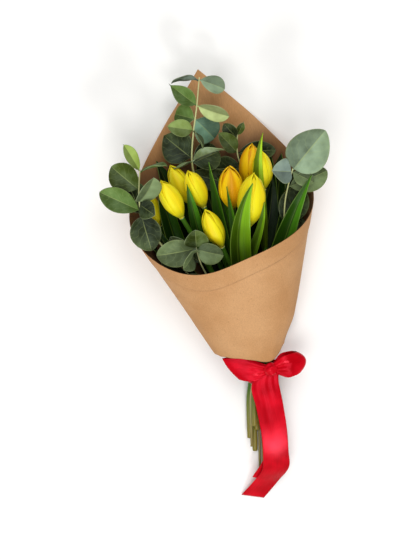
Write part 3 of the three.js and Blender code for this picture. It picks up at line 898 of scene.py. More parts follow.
@dataclass(frozen=True)
class Neck:
    """Where the stems pass through the tie, in millimetres."""

    tulip_stem: float = 3.3
    sprig_stem: float = 1.5
    stem_space: float = 0.85
    end: float = 133
    spread: float = 1.14
    drift: float = 0.17
    low_centre: float = 13.5
    low_spread: float = 1.3
    low_depth: float = 0.98
    low_bend: float = 62
    start: float = 14  # half width of the ring in which the stems start
    rounds: int = 500
    drawing_rounds: int = 400
    draw: float = 0.99

    def places(self, heads: list[tuple[Triple, float]]) -> list[tuple[float, float]]:
        """Where each stem crosses the tie: circles that are pushed apart and drawn in.

        Args:
            heads: What each stem carries: its place, and the stem's radius.

        Returns:
            Each stem's distance right of the axis and in front of it.
        """
        sine, cosine = math.sin(CONE.rise), math.cos(CONE.rise)
        spots = []
        for (x, y, z), radius in heads:
            wide = (y * cosine + z * sine) * CONE.half_slope
            deep = wide * CONE.depth
            spots.append([x / wide * self.start, (z * cosine - y * sine) / deep * self.start, radius])
        for turn in range(self.rounds):
            draw = self.draw if turn < self.drawing_rounds else 1
            for a in spots:
                a[0] *= draw
                a[1] *= draw
                for b in spots:
                    if a is not b:
                        self.part(a, b)
        return [(x, y) for x, y, _ in spots]

    def part(self, a: list[float], b: list[float]) -> None:
        """Moves two circles apart by half each if they are too close.

        Args:
            a: The first circle's place and radius, which are changed.
            b: The second circle's.
        """
        dx, dy = b[0] - a[0], b[1] - a[1]
        apart = math.hypot(dx, dy)
        short = a[2] + b[2] + self.stem_space - apart
        if short > 0:
            a[0] -= dx / apart * short * 0.5
            a[1] -= dy / apart * short * 0.5
            b[0] += dx / apart * short * 0.5
            b[1] += dy / apart * short * 0.5

    def line(self, place: tuple[float, float], cut: float, above: list[Vector]) -> Line:
        """A stem's line, from its cut end through the tie.

        Args:
            place: Where it crosses the tie.
            cut: How far along the bunch its cut end lies.
            above: The places that it runs through above the tie.

        Returns:
            The line.
        """
        x, y = place
        tie = CONE.at(x, CONE.tie_reach, y)

        def below(reach: float) -> Vector:
            """A place below the tie, where the stems spread to the left."""
            right = x * self.low_spread - self.drift * (tie.y - reach)
            return Vector((right, reach, self.low_centre + y * self.low_depth))

        over = CONE.at(x * self.spread, self.end, y * self.spread)
        return Line([below(cut), below(self.low_bend), tie, over, *above])


NECK = Neck()


# The leaves


LEAF_EDGE = 0.25  # mm, the least half width of a tulip's leaf
TULIP_LEAF_THICKNESS = 0.55
GUM_LEAF_THICKNESS = 0.5
TULIP_LEAF_FACES = (12, 40)  # across and along
GUM_LEAF_FACES = (14, 26)
STEM, LEAF, LEAF_BACK = range(3)  # the order of a plant's materials, of which pith is the last


class Green(Enum):
    """The greens of the leaves, as they look in soft light. The tulip greens from LIT to SHADE are one green
    with painted light and shade, from the lit leaves in front to those deep in the bunch, and DARK, for
    eucalyptus leaves low in the bunch, is partly painted shade.
    """

    LIT = "#93b812"
    FRESH = "#74a318"
    GRASS = "#3f7412"
    DEEP = "#2c540c"
    SHADE = "#142b08"
    LIME = "#8ba047"
    FERN = "#778a48"
    OLIVE = "#42511b"
    MOSS = "#577233"
    DARK = "#252f17"
    BLUE = "#6b8f77"
    SAGE = "#5b6a45"
    MIST = "#7e9165"
    PALE = "#adba7c"
    SKY = "#82938a"
    BIG = "#83977a"


@dataclass(frozen=True)
class Blade:
    """A leaf's blade, bent along a curve, hollow towards its face where fold is positive."""

    bend: Bend
    face: Vector
    half: Callable[[float], float]
    fold: float
    phase: float
    wave: float = 0.8
    waves: float = 2.2
    groove: float = 0.25
    groove_width: float = 0.1
    ahead: float = 1.9  # by how much the waves of the right half run ahead of the left half's
    calm: float = 6  # the half width below which the waves fade
    fold_curve: float = 1.5

    def place(self, u: float, t: float) -> Vector:
        """A place on the blade.

        Args:
            u: From -1 to 1 across.
            t: From 0 to 1 along.

        Returns:
            The place, in millimetres.
        """
        forward = self.bend.tangent(t)
        side = forward.cross(self.face).normalized()
        half = self.half(t)
        ripple = math.sin(2 * math.pi * self.waves * t + self.phase + (self.ahead if u > 0 else 0))
        lift = self.fold * half * abs(u) ** self.fold_curve
        lift += self.wave * ripple * u * u * min(half / self.calm, 1)
        lift -= self.groove * hump(u, 0, self.groove_width)
        return self.bend.point(t) + side * (u * half) + side.cross(forward) * lift

    def add_long(self, form: Form, green: Green) -> None:
        """Adds the blade of a tulip's leaf to its stem's form."""
        layer = Layer(LEAF, thickness=TULIP_LEAF_THICKNESS, tint=green.value)
        form.sheet(self.place, *TULIP_LEAF_FACES, layer)


@dataclass(frozen=True)
class Outline:
    """The outline of a tulip's leaf, in shares of its width and its length."""

    foot: float  # how wide its foot is
    widens: float  # where it starts to widen
    widest: float
    taper: float  # how blunt its tip is

    def half(self, wide: float, t: float) -> float:
        """How wide one half is.

        Args:
            wide: The leaf's full width.
            t: The share of its length.

        Returns:
            The half width there.
        """
        if t < self.widest:
            body = mix(self.foot, 1, smooth(self.widens, self.widest, t))
        else:
            body = 1 - ((t - self.widest) / (1 - self.widest)) ** self.taper
        return max(wide / 2 * body, LEAF_EDGE)


@dataclass(frozen=True)
class TulipLeaf:
    """A tulip's leaf: long, broadest below its middle, folded along its rib."""

    start: float
    tip: Triple
    wide: float
    face: Triple
    fold: float
    green: Green
    bend: float = 0.0  # how far its tip turns to the right
    outline: Outline = Outline(foot=0.34, widens=0, widest=0.42, taper=2.4)

    along_stem: float = 0.22  # how far it first follows its stem, in shares of its length
    towards_tip: float = 0.14
    last_part: float = 0.34
    straightens: float = 0.5

    def add(self, form: Form, stem: Line, phase: float) -> None:
        """Adds the leaf to its stem's form.

        Args:
            form: The form.
            stem: The stem's line.
            phase: Where the waves of its margins start.
        """
        foot, end = stem.point(self.start), Vector(self.tip)
        length = (end - foot).length
        straight = (end - foot).normalized()
        last = (straight * self.straightens + CONE.at(self.bend, self.straightens, 0)).normalized()
        first = stem.tangent(self.start) * self.along_stem + straight * self.towards_tip
        bend = Bend([foot, foot + first * length, end - last * length * self.last_part, end])
        half = partial(self.outline.half, self.wide)
        Blade(bend, Vector(self.face), half, self.fold, phase).add_long(form, self.green)


@dataclass(frozen=True)
class LiningLeaf:
    """An outer tulip leaf, which leaves its stem above the neck and lies along the inside of the paper."""

    start: float
    turn: float
    reach: float  # along the cone's axis
    wide: float
    off: float = 5.0  # how far its tip stands off the paper
    foot_off: float = 16.0  # and how much further it would at the cone's point
    wall_shares: Triple = (0.7, 0.85, 1.0)  # of its reach, where it is led along the paper
    fold: float = 0.2
    outline: Outline = Outline(foot=0.14, widens=0.2, widest=0.7, taper=2.2)

    def add(self, form: Form, stem: Line, phase: float) -> None:
        """Adds the leaf to its stem's form.

        Args:
            form: The form.
            stem: The stem's line.
            phase: Where the waves of its margins start.
        """
        foot = stem.point(self.start)
        wall = [self.wall(share) for share in self.wall_shares]
        bend = Line([foot, foot.lerp(wall[0], 0.5) + Vector((0, 0, 1)), *wall])
        inward = CONE.at(0, self.reach, 0) - wall[-1]
        half = partial(self.outline.half, self.wide)
        # The darkest green, as painted shade deep inside the cone.
        Blade(bend, inward, half, self.fold, phase).add_long(form, Green.SHADE)

    def wall(self, share: float) -> Vector:
        """A place inside the paper.

        Args:
            share: The share of the leaf's reach.

        Returns:
            The place, in millimetres.
        """
        reach = self.reach * share
        skin = CONE.paper(self.turn, reach)
        inward = (CONE.at(0, reach, 0) - skin).normalized()
        return skin + inward * (self.off + self.foot_off * (1 - share))


@dataclass(frozen=True)
class GumLeaf:
    """A eucalyptus leaf: round to oval, almost flat, on a very short stalk.

    full says where the leaf is widest: below 1 nearer its foot, and above 1 nearer its tip. blunt says how
    round its tip is, and a higher value gives a sharper one.
    """

    at: float
    tip: Triple
    wide: float
    face: Triple
    arch: float
    green: Green
    full: float = 1.0
    blunt: float = 0.6

    fold: float = 0.28
    stalk: float = 0.045  # its share of the length
    stalk_half: float = 0.7
    tip_half: float = 0.15
    last_share: float = 0.992  # of the stem, where its last leaves sit
    foot_blunt: float = 0.6

    def half(self, t: float) -> float:
        """How wide one half is.

        Args:
            t: The share of the leaf's length.

        Returns:
            The half width there.
        """
        body = clamp((t - self.stalk) / (1 - self.stalk))
        rounding = mix(self.foot_blunt, self.blunt, t)
        least = self.stalk_half if t < 0.5 else self.tip_half
        return max(self.wide / 2 * math.sin(math.pi * body**self.full) ** rounding, least)

    def add(self, form: Form, stem: Line, share: float, phase: float) -> None:
        """Adds the leaf to its sprig's form.

        Args:
            form: The form.
            stem: The sprig's line.
            share: Where the leaf sits on it.
            phase: Where the waves of its margins start.
        """
        end = Vector(self.tip)
        forward = (end - stem.point(share)).normalized()
        foot = stem.point(min(share, self.last_share)) + forward * NECK.sprig_stem / 2
        side = forward.cross(Vector(self.face)).normalized()
        middle = foot.lerp(end, 0.5) + side.cross(forward) * self.arch * (end - foot).length
        bend = Bend([foot, middle, end])
        blade = Blade(bend, Vector(self.face), self.half, self.fold, phase, wave=1.1, waves=1.1, groove=0.35)

        def place(u: float, v: float) -> Vector:
            """A place on the blade, with more rows at its foot and its tip."""
            return blade.place(u, 0.5 - 0.5 * math.cos(math.pi * v))

        layer = Layer(LEAF, under=LEAF_BACK, thickness=GUM_LEAF_THICKNESS, tint=self.green.value)
        form.sheet(place, *GUM_LEAF_FACES, layer)


@dataclass(frozen=True)
class Sprig:
    """A eucalyptus sprig: its stem's places above the tie, its cut end and its leaves."""

    name: str
    stem: tuple[Triple, ...]
    cut: float
    leaves: tuple[GumLeaf, ...]

    foot_radius: float = 1.6
    tip_radius: float = 0.65
    taper: float = 1.6
    sides: int = 10
    steps: int = 80
    phase_step: float = 1.7  # so that no two leaves wave alike

    def radius(self, t: float) -> float:
        """The stem's radius at a share t of it."""
        return mix(self.foot_radius, self.tip_radius, t**self.taper)

    def build(self, place: tuple[float, float], palette: Palette) -> None:
        """Makes the sprig and dresses it.

        Args:
            place: Where its stem crosses the tie.
            palette: The finishes.
        """
        materials = [palette.gum_stem, palette.gum_leaf, palette.gum_back, palette.pith]
        line = NECK.line(place, self.cut, [Vector(p) for p in self.stem])
        last = len(line.places) - 1
        form = Form()
        form.tube(line, self.radius, self.sides, self.steps, Layer(STEM, under=len(materials) - 1))
        for i, leaf in enumerate(self.leaves):
            leaf.add(form, line, (last - len(self.stem) + 1 + leaf.at) / last, i * self.phase_step)
        piece = form.finish(f"eucalyptus_{self.name}_sprig", materials)
        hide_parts(f"eucalyptus_{self.name}")


# The tulips


@dataclass(frozen=True)
class Whorl:
    """How a bud's three outer petals and its three inner ones differ."""

    inset: float  # from the bud's skin
    spread: float  # radians, from a petal's middle to its edge
    lean: float  # how far the tips stand out where the bud opens
    over: float  # how far one edge lies over its neighbour
    least: float  # distance from the bud's axis
    height: float  # as a share of the bud's


OUTER = Whorl(inset=0.65, spread=1.1, lean=2.0, over=0.32, least=0.5, height=1.0)
INNER = Whorl(inset=1.25, spread=0.946, lean=1.6, over=0.1, least=0.3, height=0.975)


@dataclass(frozen=True)
class PetalForm:
    """The relief of a petal, in millimetres, and its places as shares of its length and its half width."""

    foot: float = 0.02  # where it starts
    narrowing: float = 0.6  # of its tip
    keel: float = 0.4
    keel_width: float = 0.14
    groove: float = 0.25  # on each side of the keel
    groove_at: float = 0.36
    groove_width: float = 0.16
    curl: float = 0.2  # of its edges
    ripple: float = 0.12
    opens: float = 0.45  # where it starts to lean out
    shorter: float = 0.012  # from one petal of a ring to the next
    rounding: float = 0.03  # of its tip
    thickness: float = 0.55
    faces: tuple[int, int] = (18, 30)

    def relief(self, u: float, share: float, phase: float) -> float:
        """How far the keel, the curled edges and the ripples move its face.

        Args:
            u: From -1 to 1 across.
            share: The share of the bud's length.
            phase: Where the ripples start.

        Returns:
            The distance, in millimetres.
        """
        keel = self.keel * hump(u, 0, self.keel_width)
        keel -= self.groove * hump(abs(u), self.groove_at, self.groove_width)
        keel *= smooth(0.04, 0.25, share) * (1 - smooth(0.8, 1, share))
        curl = self.curl * abs(u) ** 4 * smooth(0.35, 0.85, share) * (1 + math.sin(phase))
        return keel + curl + self.ripple * math.sin(9 * share + 3 * u + phase)


PETAL = PetalForm()

# The heart inside the petals: its half widths, as shares of the bloom's, and their heights
HEART = ((0.15, 0.5), (0.24, 0.6), (0.28, 2.2), (0.24, 4.5), (0.1, 6))


@dataclass(frozen=True)
class Tulip:
    """A tulip: its bloom's base and tip, and its stem with its leaves, in millimetres.

    half is the bloom's half width, roll turns its petals in degrees, part is how far their tips stand apart,
    and cut is how far along the bunch the stem's cut end lies.
    """

    base: Triple
    tip: Triple
    half: float
    roll: float
    part: float
    cut: float
    leaves: tuple[TulipLeaf, ...] = ()
    lining: tuple[LiningLeaf, ...] = ()
    orange: bool = False

    widest: float = 0.45  # the share of a bud's length where it is widest
    foot_half: float = 0.2  # the bud's half width at its foot, as a share of its greatest
    fullness: float = 0.9
    blunt: float = 2.4
    below: float = 34  # how far below the bloom its stem stands straight
    sunk: float = 0.3  # how far the stem reaches into the bloom
    stem_foot: float = 3.25
    stem_top: float = 2.7
    flare: float = 0.5
    stem_sides: int = 16
    stem_steps: int = 90
    heart_sides: int = 20
    phase_step: float = 2.3  # so that no two leaves wave alike

    @property
    def length(self) -> float:
        """The bloom's length."""
        return (Vector(self.tip) - Vector(self.base)).length

    def line(self, place: tuple[float, float]) -> Line:
        """The stem's line.

        Args:
            place: Where it crosses the tie.

        Returns:
            The line, which ends just inside the bloom.
        """
        foot = Vector(self.base)
        direction = (Vector(self.tip) - foot).normalized()
        return NECK.line(place, self.cut, [foot - direction * self.below, foot + direction * self.sunk])

    def radius(self, t: float) -> float:
        """The stem's radius at a share t of it. It flares under the bloom."""
        return mix(self.stem_foot, self.stem_top, smooth(0.5, 0.97, t)) + self.flare * smooth(0.985, 1, t)

    def body(self, share: float) -> float:
        """The bud's outline: a tapered foot and a blunt tip.

        Args:
            share: The share of its length.

        Returns:
            Its half width there, as a share of its greatest.
        """
        if share < self.widest:
            return mix(self.foot_half, 1, math.sin(math.pi / 2 * share / self.widest) ** self.fullness)
        return (1 - clamp((share - self.widest) / (1 - self.widest)) ** self.blunt) ** self.fullness

    def petal_place(self, index: int) -> Place:
        """The surface of one petal, standing along +Z.

        Args:
            index: From 0 to 5. The even ones are the outer petals.

        Returns:
            The surface.
        """
        ring = INNER if index % 2 else OUTER
        middle = math.radians(self.roll + index * 60)
        phase = index * 2.1 + self.roll

        def place(u: float, v: float) -> Vector:
            """A place on the petal."""
            share = mix(PETAL.foot, 1, v)
            turn = middle + u * ring.spread * (1 - PETAL.narrowing * share**5)
            reach = self.half * self.body(share) - ring.inset + ring.over * u + PETAL.relief(u, share, phase)
            reach += self.part * self.half * max(share - PETAL.opens, 0) ** 1.5 * ring.lean
            reach = max(reach, ring.least)
            height = share * (1 - PETAL.shorter * (index // 2)) * ring.height
            height -= PETAL.rounding * u * u * smooth(0.85, 1, share)
            return Vector((reach * math.cos(turn), reach * math.sin(turn), self.length * height))

        return place

    def heart_place(self, u: float, v: float) -> Vector:
        """A place on the heart inside the petals.

        Args:
            u: From -1 to 1 round it.
            v: From 0 to 1 upwards.

        Returns:
            The place, with the bloom standing along +Z.
        """
        step = v * (len(HEART) - 1)
        i = int(min(step, len(HEART) - 2))
        (r, z), (s, w) = HEART[i : i + 2]
        reach = mix(r, s, step - i) * self.half
        return Vector((reach * math.cos(math.pi * u), reach * math.sin(math.pi * u), mix(z, w, step - i)))

    def build(self, number: int, place: tuple[float, float], palette: Palette) -> None:
        """Makes the stem with its leaves, and the bloom, and dresses them.

        Args:
            number: The tulip's number, from 1.
            place: Where its stem crosses the tie.
            palette: The finishes.
        """
        materials = [palette.tulip_stem, palette.tulip_leaf, palette.pith]
        line = self.line(place)
        plant = Form()
        plant.tube(line, self.radius, self.stem_sides, self.stem_steps, Layer(STEM, under=len(materials) - 1))
        for i, leaf in enumerate(self.leaves + self.lining):
            leaf.add(plant, line, number + i * self.phase_step)
        stem = plant.finish(f"tulip_{number}_stem_and_leaves", materials)
        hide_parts(f"tulip_{number}_stem")

        bloom = Form()
        for index in range(6):
            bloom.sheet(self.petal_place(index), *PETAL.faces, Layer(thickness=PETAL.thickness))
        bloom.sheet(self.heart_place, self.heart_sides, len(HEART) - 1, Layer(wrap=True))
        foot = Vector(self.base)
        turn = Vector((0, 0, 1)).rotation_difference(Vector(self.tip) - foot)
        bloom.turned(Matrix.Translation(foot) @ turn.to_matrix().to_4x4())
        petals = bloom.finish(f"tulip_{number}_petals", [palette.orange if self.orange else palette.yellow])
        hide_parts(f"tulip_{number}_bloom")


TULIPS = (
    Tulip(
        (-84, 302, 46), (-92, 349, 56), 11, 20, 0.1, 12,
        (
            TulipLeaf(0.72, (-74, 361, 74), 21, (0.3, 0, 1), 0.3, Green.DEEP),
            TulipLeaf(0.6, (-92, 324, 70), 17, (0, 0, 1), 0.3, Green.SHADE),
        ),
        (LiningLeaf(0.53, -1.0, 360, 30), LiningLeaf(0.55, -1.35, 290, 24)),
    ),
    Tulip(
        (-55, 314, 84), (-70, 363, 100), 12, 80, 0.08, 30,
        (TulipLeaf(0.74, (-42, 352, 96), 14, (-0.1, 0.1, 1), -0.3, Green.GRASS),),
    ),
    Tulip(
        (-42, 322, 45), (-57, 372, 56), 12, 35, 0.05, -8,
        (
            TulipLeaf(0.6, (-40, 340, 28), 16, (-0.3, 0.1, 1), 0.3, Green.DEEP),
            TulipLeaf(0.66, (-6, 306, 24), 24, (0.1, 0, 1), 0.25, Green.SHADE),
        ),
        (LiningLeaf(0.49, -0.62, 368, 34),),
    ),
    Tulip(
        (-28, 318, 67), (-38, 365, 80), 12.5, 100, 0.16, 22,
        (TulipLeaf(0.51, (-13, 368, 70), 20, (-0.7, 0, 0.7), 0.4, Green.GRASS),),
    ),
    Tulip(
        (4, 309, 65), (9, 361, 80), 15, 30, 0.12, -34,
        (TulipLeaf(0.62, (-6, 345, 50), 15, (-0.5, 0, 1), 0.35, Green.GRASS),),
        (LiningLeaf(0.52, -0.2, 360, 30),),
        orange=True,
    ),
    Tulip(
        (28, 326, 37), (41, 377, 48), 14, 60, 0.08, 6,
        (
            TulipLeaf(0.5, (14, 352, 44), 20, (0.8, 0.1, 0.6), 0.35, Green.GRASS),
            TulipLeaf(0.66, (58, 330, 27), 26, (0.1, 0, 1), 0.25, Green.SHADE),
        ),
        (LiningLeaf(0.5, 0.25, 352, 30), LiningLeaf(0.5, 0.62, 350, 30)),
        orange=True,
    ),
    Tulip(
        (43, 323, 61), (48, 371, 76), 12, 110, 0.06, 20,
        (
            TulipLeaf(0.72, (52, 392, 98), 14, (-0.2, 0, 1), -0.3, Green.LIT, bend=0.35),
            TulipLeaf(0.42, (72, 332, 64), 22, (-0.4, 0, 0.9), 0.4, Green.DEEP),
        ),
        (
            LiningLeaf(0.55, 1.0, 335, 30),
            LiningLeaf(0.5, 0.81, 352, 34, off=9),
            LiningLeaf(0.55, 1.4, 275, 26),
        ),
    ),
    Tulip(
        (17, 291, 92), (34, 352, 108), 16.5, 75, 0.1, 34,
        (
            TulipLeaf(0.74, (38, 317, 112), 10, (-0.5, 0, 0.9), 0.4, Green.FRESH),
            TulipLeaf(0.47, (96, 335, 103), 25, (-0.25, 0, 1), 0.6, Green.GRASS, bend=0.5),
        ),
    ),
    Tulip(
        (-17, 273, 92), (-28, 323, 110), 11.5, 15, 0.04, 40,
        (
            TulipLeaf(0.7, (29, 343, 127), 25, (0.3, 0, 1), 0.8, Green.FRESH, bend=0.65),
            TulipLeaf(0.55, (1, 340, 95), 13, (-0.5, 0, 1), 0.35, Green.GRASS),
        ),
    ),
)

SPRIGS = (
    Sprig(
        "tall",
        (
            (0, 155, 15), (-21, 245, 13), (-31, 345, 30), (-31, 369, 38),
            (-22, 404, 42), (-13, 431, 44), (-4, 462, 46),
        ),
        -31,
        (
            GumLeaf(6, (-36, 463, 54), 18, (-0.2, 0.95, -0.3), 0.12, Green.DARK, 1.2),
            GumLeaf(6, (22, 443, 40), 21, (0.3, 0.25, 1), 0.08, Green.BIG, 1.2),
            GumLeaf(5, (-38, 460, 52), 20, (-0.3, 0.3, 1), -0.08, Green.MOSS, 0.85, 1.0),
            GumLeaf(5, (20, 413, 57), 21, (0.3, -0.5, 0.8), 0.1, Green.PALE, 1.2),
            GumLeaf(4.45, (-39, 425, 28), 27, (-0.1, 0.2, 1), 0.06, Green.MOSS),
            GumLeaf(4.45, (0, 388, 24), 34, (0.1, 0.2, 1), 0.06, Green.BLUE),
            GumLeaf(4, (-50, 415, 54), 20, (0.1, 0.2, 1), 0.1, Green.FERN),
            GumLeaf(4, (-16, 384, 60), 14, (0.9, 0.2, 0.3), 0.1, Green.SAGE),
            GumLeaf(3.1, (-57, 403, 26), 40, (-0.2, 0.1, 1), 0.08, Green.DARK, 0.85, 0.9),
            GumLeaf(3, (7, 378, 60), 20, (0.25, 0.9, -0.4), 0.1, Green.MIST),
            GumLeaf(3, (-52, 368, 60), 16, (0.15, 0.9, -0.3), -0.1, Green.MIST),
            GumLeaf(2.9, (2, 371, 18), 34, (0.1, 0.2, 1), 0.06, Green.DARK),
        ),
    ),
    Sprig(
        "left",
        ((-60, 240, 62), (-98, 318, 84), (-98, 345, 92), (-90, 379, 98)),
        2,
        (
            GumLeaf(3, (-101, 410, 106), 15, (0.5, 0, 1), 0.1, Green.LIME, 1.15),
            GumLeaf(3, (-60, 380, 112), 16, (0, 0.95, 0.1), 0.08, Green.MOSS),
            GumLeaf(2.35, (-121, 387, 84), 32, (-0.1, 0.1, 1), 0.1, Green.OLIVE),
            GumLeaf(1.9, (-76, 370, 124), 30, (0.3, -0.75, 0.7), 0.1, Green.MIST),
            GumLeaf(1.8, (-84, 327, 106), 22, (0.1, -0.1, 1), 0.08, Green.DARK),
            GumLeaf(1.5, (-139, 363, 96), 27, (0, 0.2, 1), 0.14, Green.MOSS, 1.2),
            GumLeaf(1.3, (-108, 364, 64), 32, (0.2, -0.3, 1), 0.1, Green.DARK),
            GumLeaf(1.3, (-96, 286, 94), 36, (-0.1, -0.2, 1), 0.08, Green.DARK, 0.9),
            GumLeaf(0.1, (-86, 268, 60), 30, (-0.2, 0, 1), 0.08, Green.DARK),
        ),
    ),
    Sprig(
        "low",
        ((-23, 190, 64), (-44, 258, 94), (-46, 281, 104)),
        44,
        (
            GumLeaf(2, (-91, 281, 105), 32, (0, -0.1, 1), 0.1, Green.SAGE),
            GumLeaf(2, (-64, 263, 122), 24, (-0.5, -0.6, 0.7), 0.1, Green.SAGE),
            GumLeaf(2, (-43, 303, 118), 27, (0, -0.6, 0.9), 0.1, Green.OLIVE),
            GumLeaf(1.9, (-18, 268, 113), 27, (0.1, -0.3, 1), 0.12, Green.SAGE),
            GumLeaf(1.1, (-72, 296, 92), 26, (-0.3, -0.3, 1), 0.1, Green.DARK),
            GumLeaf(0.4, (-66, 246, 82), 26, (-0.2, 0, 1), 0.1, Green.DARK),
        ),
    ),
    Sprig(
        "right",
        ((33, 190, 54), (52, 250, 68), (64, 310, 82), (78, 345, 92)),
        -4,
        (
            GumLeaf(3, (120, 381, 102), 47, (0, 0.1, 1), 0.06, Green.BIG, 0.8),
            GumLeaf(2.9, (54, 350, 110), 28, (0.1, 0.2, 1), 0.06, Green.SKY, 0.8),
            GumLeaf(2.9, (98, 326, 97), 19, (0, 0.1, 1), 0.06, Green.SAGE),
            GumLeaf(2.4, (116, 334, 86), 30, (0.1, -0.2, 1), 0.1, Green.SAGE, 1.2),
            GumLeaf(1.5, (86, 318, 66), 34, (-0.1, 0, 1), 0.1, Green.DARK),
            GumLeaf(0.9, (81, 282, 60), 28, (-0.1, 0, 1), 0.1, Green.DARK),
        ),
    ),
    Sprig(
        "back",
        ((14, 250, 20), (26, 330, 20), (23, 366, 26), (27, 388, 30)),
        -28,
        (
            GumLeaf(3, (36, 400, 34), 9, (0, 0, 1), 0.1, Green.OLIVE),
            GumLeaf(2.8, (14, 403, 32), 17, (-0.3, 0, 1), 0.1, Green.DARK),
            GumLeaf(2, (6, 394, 38), 20, (0.3, 0.2, 1), 0.1, Green.OLIVE),
            GumLeaf(2, (68, 360, 20), 23, (0, 0.2, 1), 0.1, Green.DARK),
            GumLeaf(1.4, (60, 342, 14), 30, (0, 0.1, 1), 0.06, Green.DARK),
            GumLeaf(1.4, (-8, 352, 13), 30, (-0.1, 0.1, 1), 0.06, Green.DARK),
            GumLeaf(0.6, (50, 316, 14), 30, (0.1, 0, 1), 0.06, Green.DARK),
            GumLeaf(0.6, (-12, 312, 10), 30, (-0.1, 0, 1), 0.06, Green.DARK),
            GumLeaf(0.9, (-34, 352, 20), 28, (-0.1, 0, 1), 0.06, Green.DARK),
        ),
    ),
)


# The wrap and what ties it


@dataclass(frozen=True)
class PaperWrap:
    """The sheet of kraft paper, rolled into a cone, with the front of its edge folded over to a hem."""

    thickness: float = 0.6
    hem: float = 24
    hem_raise: float = 0.8
    groove: float = 0.35  # below the hem
    swell: float = 0.7
    pleat: float = 0.5
    pleats: int = 17
    pleats_start: tuple[float, float] = (118, 140)
    pleats_end: tuple[float, float] = (165, 215)
    swell_start: tuple[float, float] = (150, 220)
    front_turns: tuple[float, float] = (0.75, 1.1)
    around: int = 240
    rows: int = 84
    body_rows: int = 70

    def reach(self, turn: float, v: float) -> float:
        """How far along the axis a row lies. One row takes the whole step up to the hem.

        Args:
            turn: The turn round the cone.
            v: The row's share, from 0 at the foot to 1 at the rim.

        Returns:
            The reach, in millimetres.
        """
        low, high = CONE.foot(turn), CONE.rim(turn)
        hem = high - self.hem
        step = self.body_rows / self.rows
        over = (self.body_rows + 1) / self.rows
        if v <= step:
            return mix(low, hem - 0.5, v / step)
        if v < over:
            return mix(hem - 0.5, hem, (v - step) / (over - step))
        return mix(hem, high, (v - over) / (1 - over))

    def place(self, u: float, v: float) -> Vector:
        """A place on the outer face, with the soft swells of a rolled sheet and the pleats above the tie.

        Args:
            u: From -1 to 1 round the cone.
            v: From 0 at the foot to 1 at the rim.

        Returns:
            The place, in millimetres.
        """
        turn = CONE.corner_turn - u * math.pi
        reach = self.reach(turn, v)
        skin = CONE.paper(turn, reach)
        around = CONE.paper(turn + 0.01, reach) - CONE.paper(turn - 0.01, reach)
        up = CONE.paper(turn, reach + 1) - CONE.paper(turn, reach - 1)
        front = smooth(*self.front_turns, abs(turn))
        raised = self.hem_raise * front * smooth(self.body_rows, self.body_rows + 1, v * self.rows)
        raised += self.swell * math.sin(3 * turn + reach / 55) * smooth(*self.swell_start, reach) * front
        raised -= self.groove * front * hump(v * self.rows, self.body_rows, 0.8)
        pleats = smooth(*self.pleats_start, reach) * (1 - smooth(*self.pleats_end, reach)) * (1 - front * 0.6)
        raised += self.pleat * pleats * (math.sin(self.pleats * turn + 0.6 * math.sin(3 * turn)) - 1)
        return skin + up.cross(around).normalized() * raised

    def build(self, palette: Palette) -> None:
        """Makes the paper and dresses it.

        Args:
            palette: The finishes.
        """
        form = Form()
        form.sheet(self.place, self.around, self.rows, Layer(under=1, thickness=self.thickness, wrap=True))
        # The inner face takes the kraft with painted shade below the flowers.
        piece = form.finish("kraft_paper_cone", [palette.kraft, palette.painted_shade_kraft])
        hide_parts("paper_wrap")


@dataclass(frozen=True)
class Tail:
    """A tail of the ribbon: places along its left and right edges, from the knot to the cut end.

    Each crease has its place across the tail, its width, and the share of the tail at which it has gone.
    """

    name: str
    left: tuple[Triple, ...]
    right: tuple[Triple, ...]
    depth: float
    creases: tuple[Triple, ...] = (
        (-0.7, 0.24, 0.4),
        (-0.32, 0.24, 0.5),
        (0.15, 0.24, 0.36),
        (0.6, 0.16, 0.25),
    )
    crown: float = 0.8  # how far its middle stands up
    drift: float = 0.25  # how far the creases run aside along the whole tail
    sway: float = 0.03
    faces: tuple[int, int] = (28, 110)

    def fold(self, u: float, v: float) -> float:
        """How far the creases and the crown move the satin.

        Args:
            u: From -1 to 1 across.
            v: From 0 at the knot to 1 at the cut end.

        Returns:
            The distance, in millimetres.
        """
        fold = self.crown * (1 - u * u) * (1 + 0.5 * math.sin(9 * v + 1)) * (1 - smooth(0.8, 1, v))
        aside = self.drift * v + self.sway * math.sin(11 * v)
        for at, wide, end in self.creases:
            fading = 1 - smooth(0.3 * end, end, v)
            fold -= self.depth * fading * hump(u, at + aside, wide)
        return fold

    def build(self, palette: Palette) -> bpy.types.Object:
        """Makes the tail.

        Args:
            palette: The finishes.

        Returns:
            The tail.
        """
        left, right = Line([Vector(p) for p in self.left]), Line([Vector(p) for p in self.right])

        def place(u: float, v: float) -> Vector:
            """A place on the tail."""
            a, b = left.point(v), right.point(v)
            along = (left.tangent(v) + right.tangent(v)).normalized()
            normal = (b - a).normalized().cross(along)
            if normal.z < 0:
                normal = -normal
            return a.lerp(b, (u + 1) / 2) + normal * self.fold(u, v)

        form = Form()
        form.sheet(place, *self.faces, Layer(thickness=SATIN_THICKNESS))
        piece = form.finish(self.name, [palette.satin])
        length = (left.length() + right.length()) / 2
        return piece


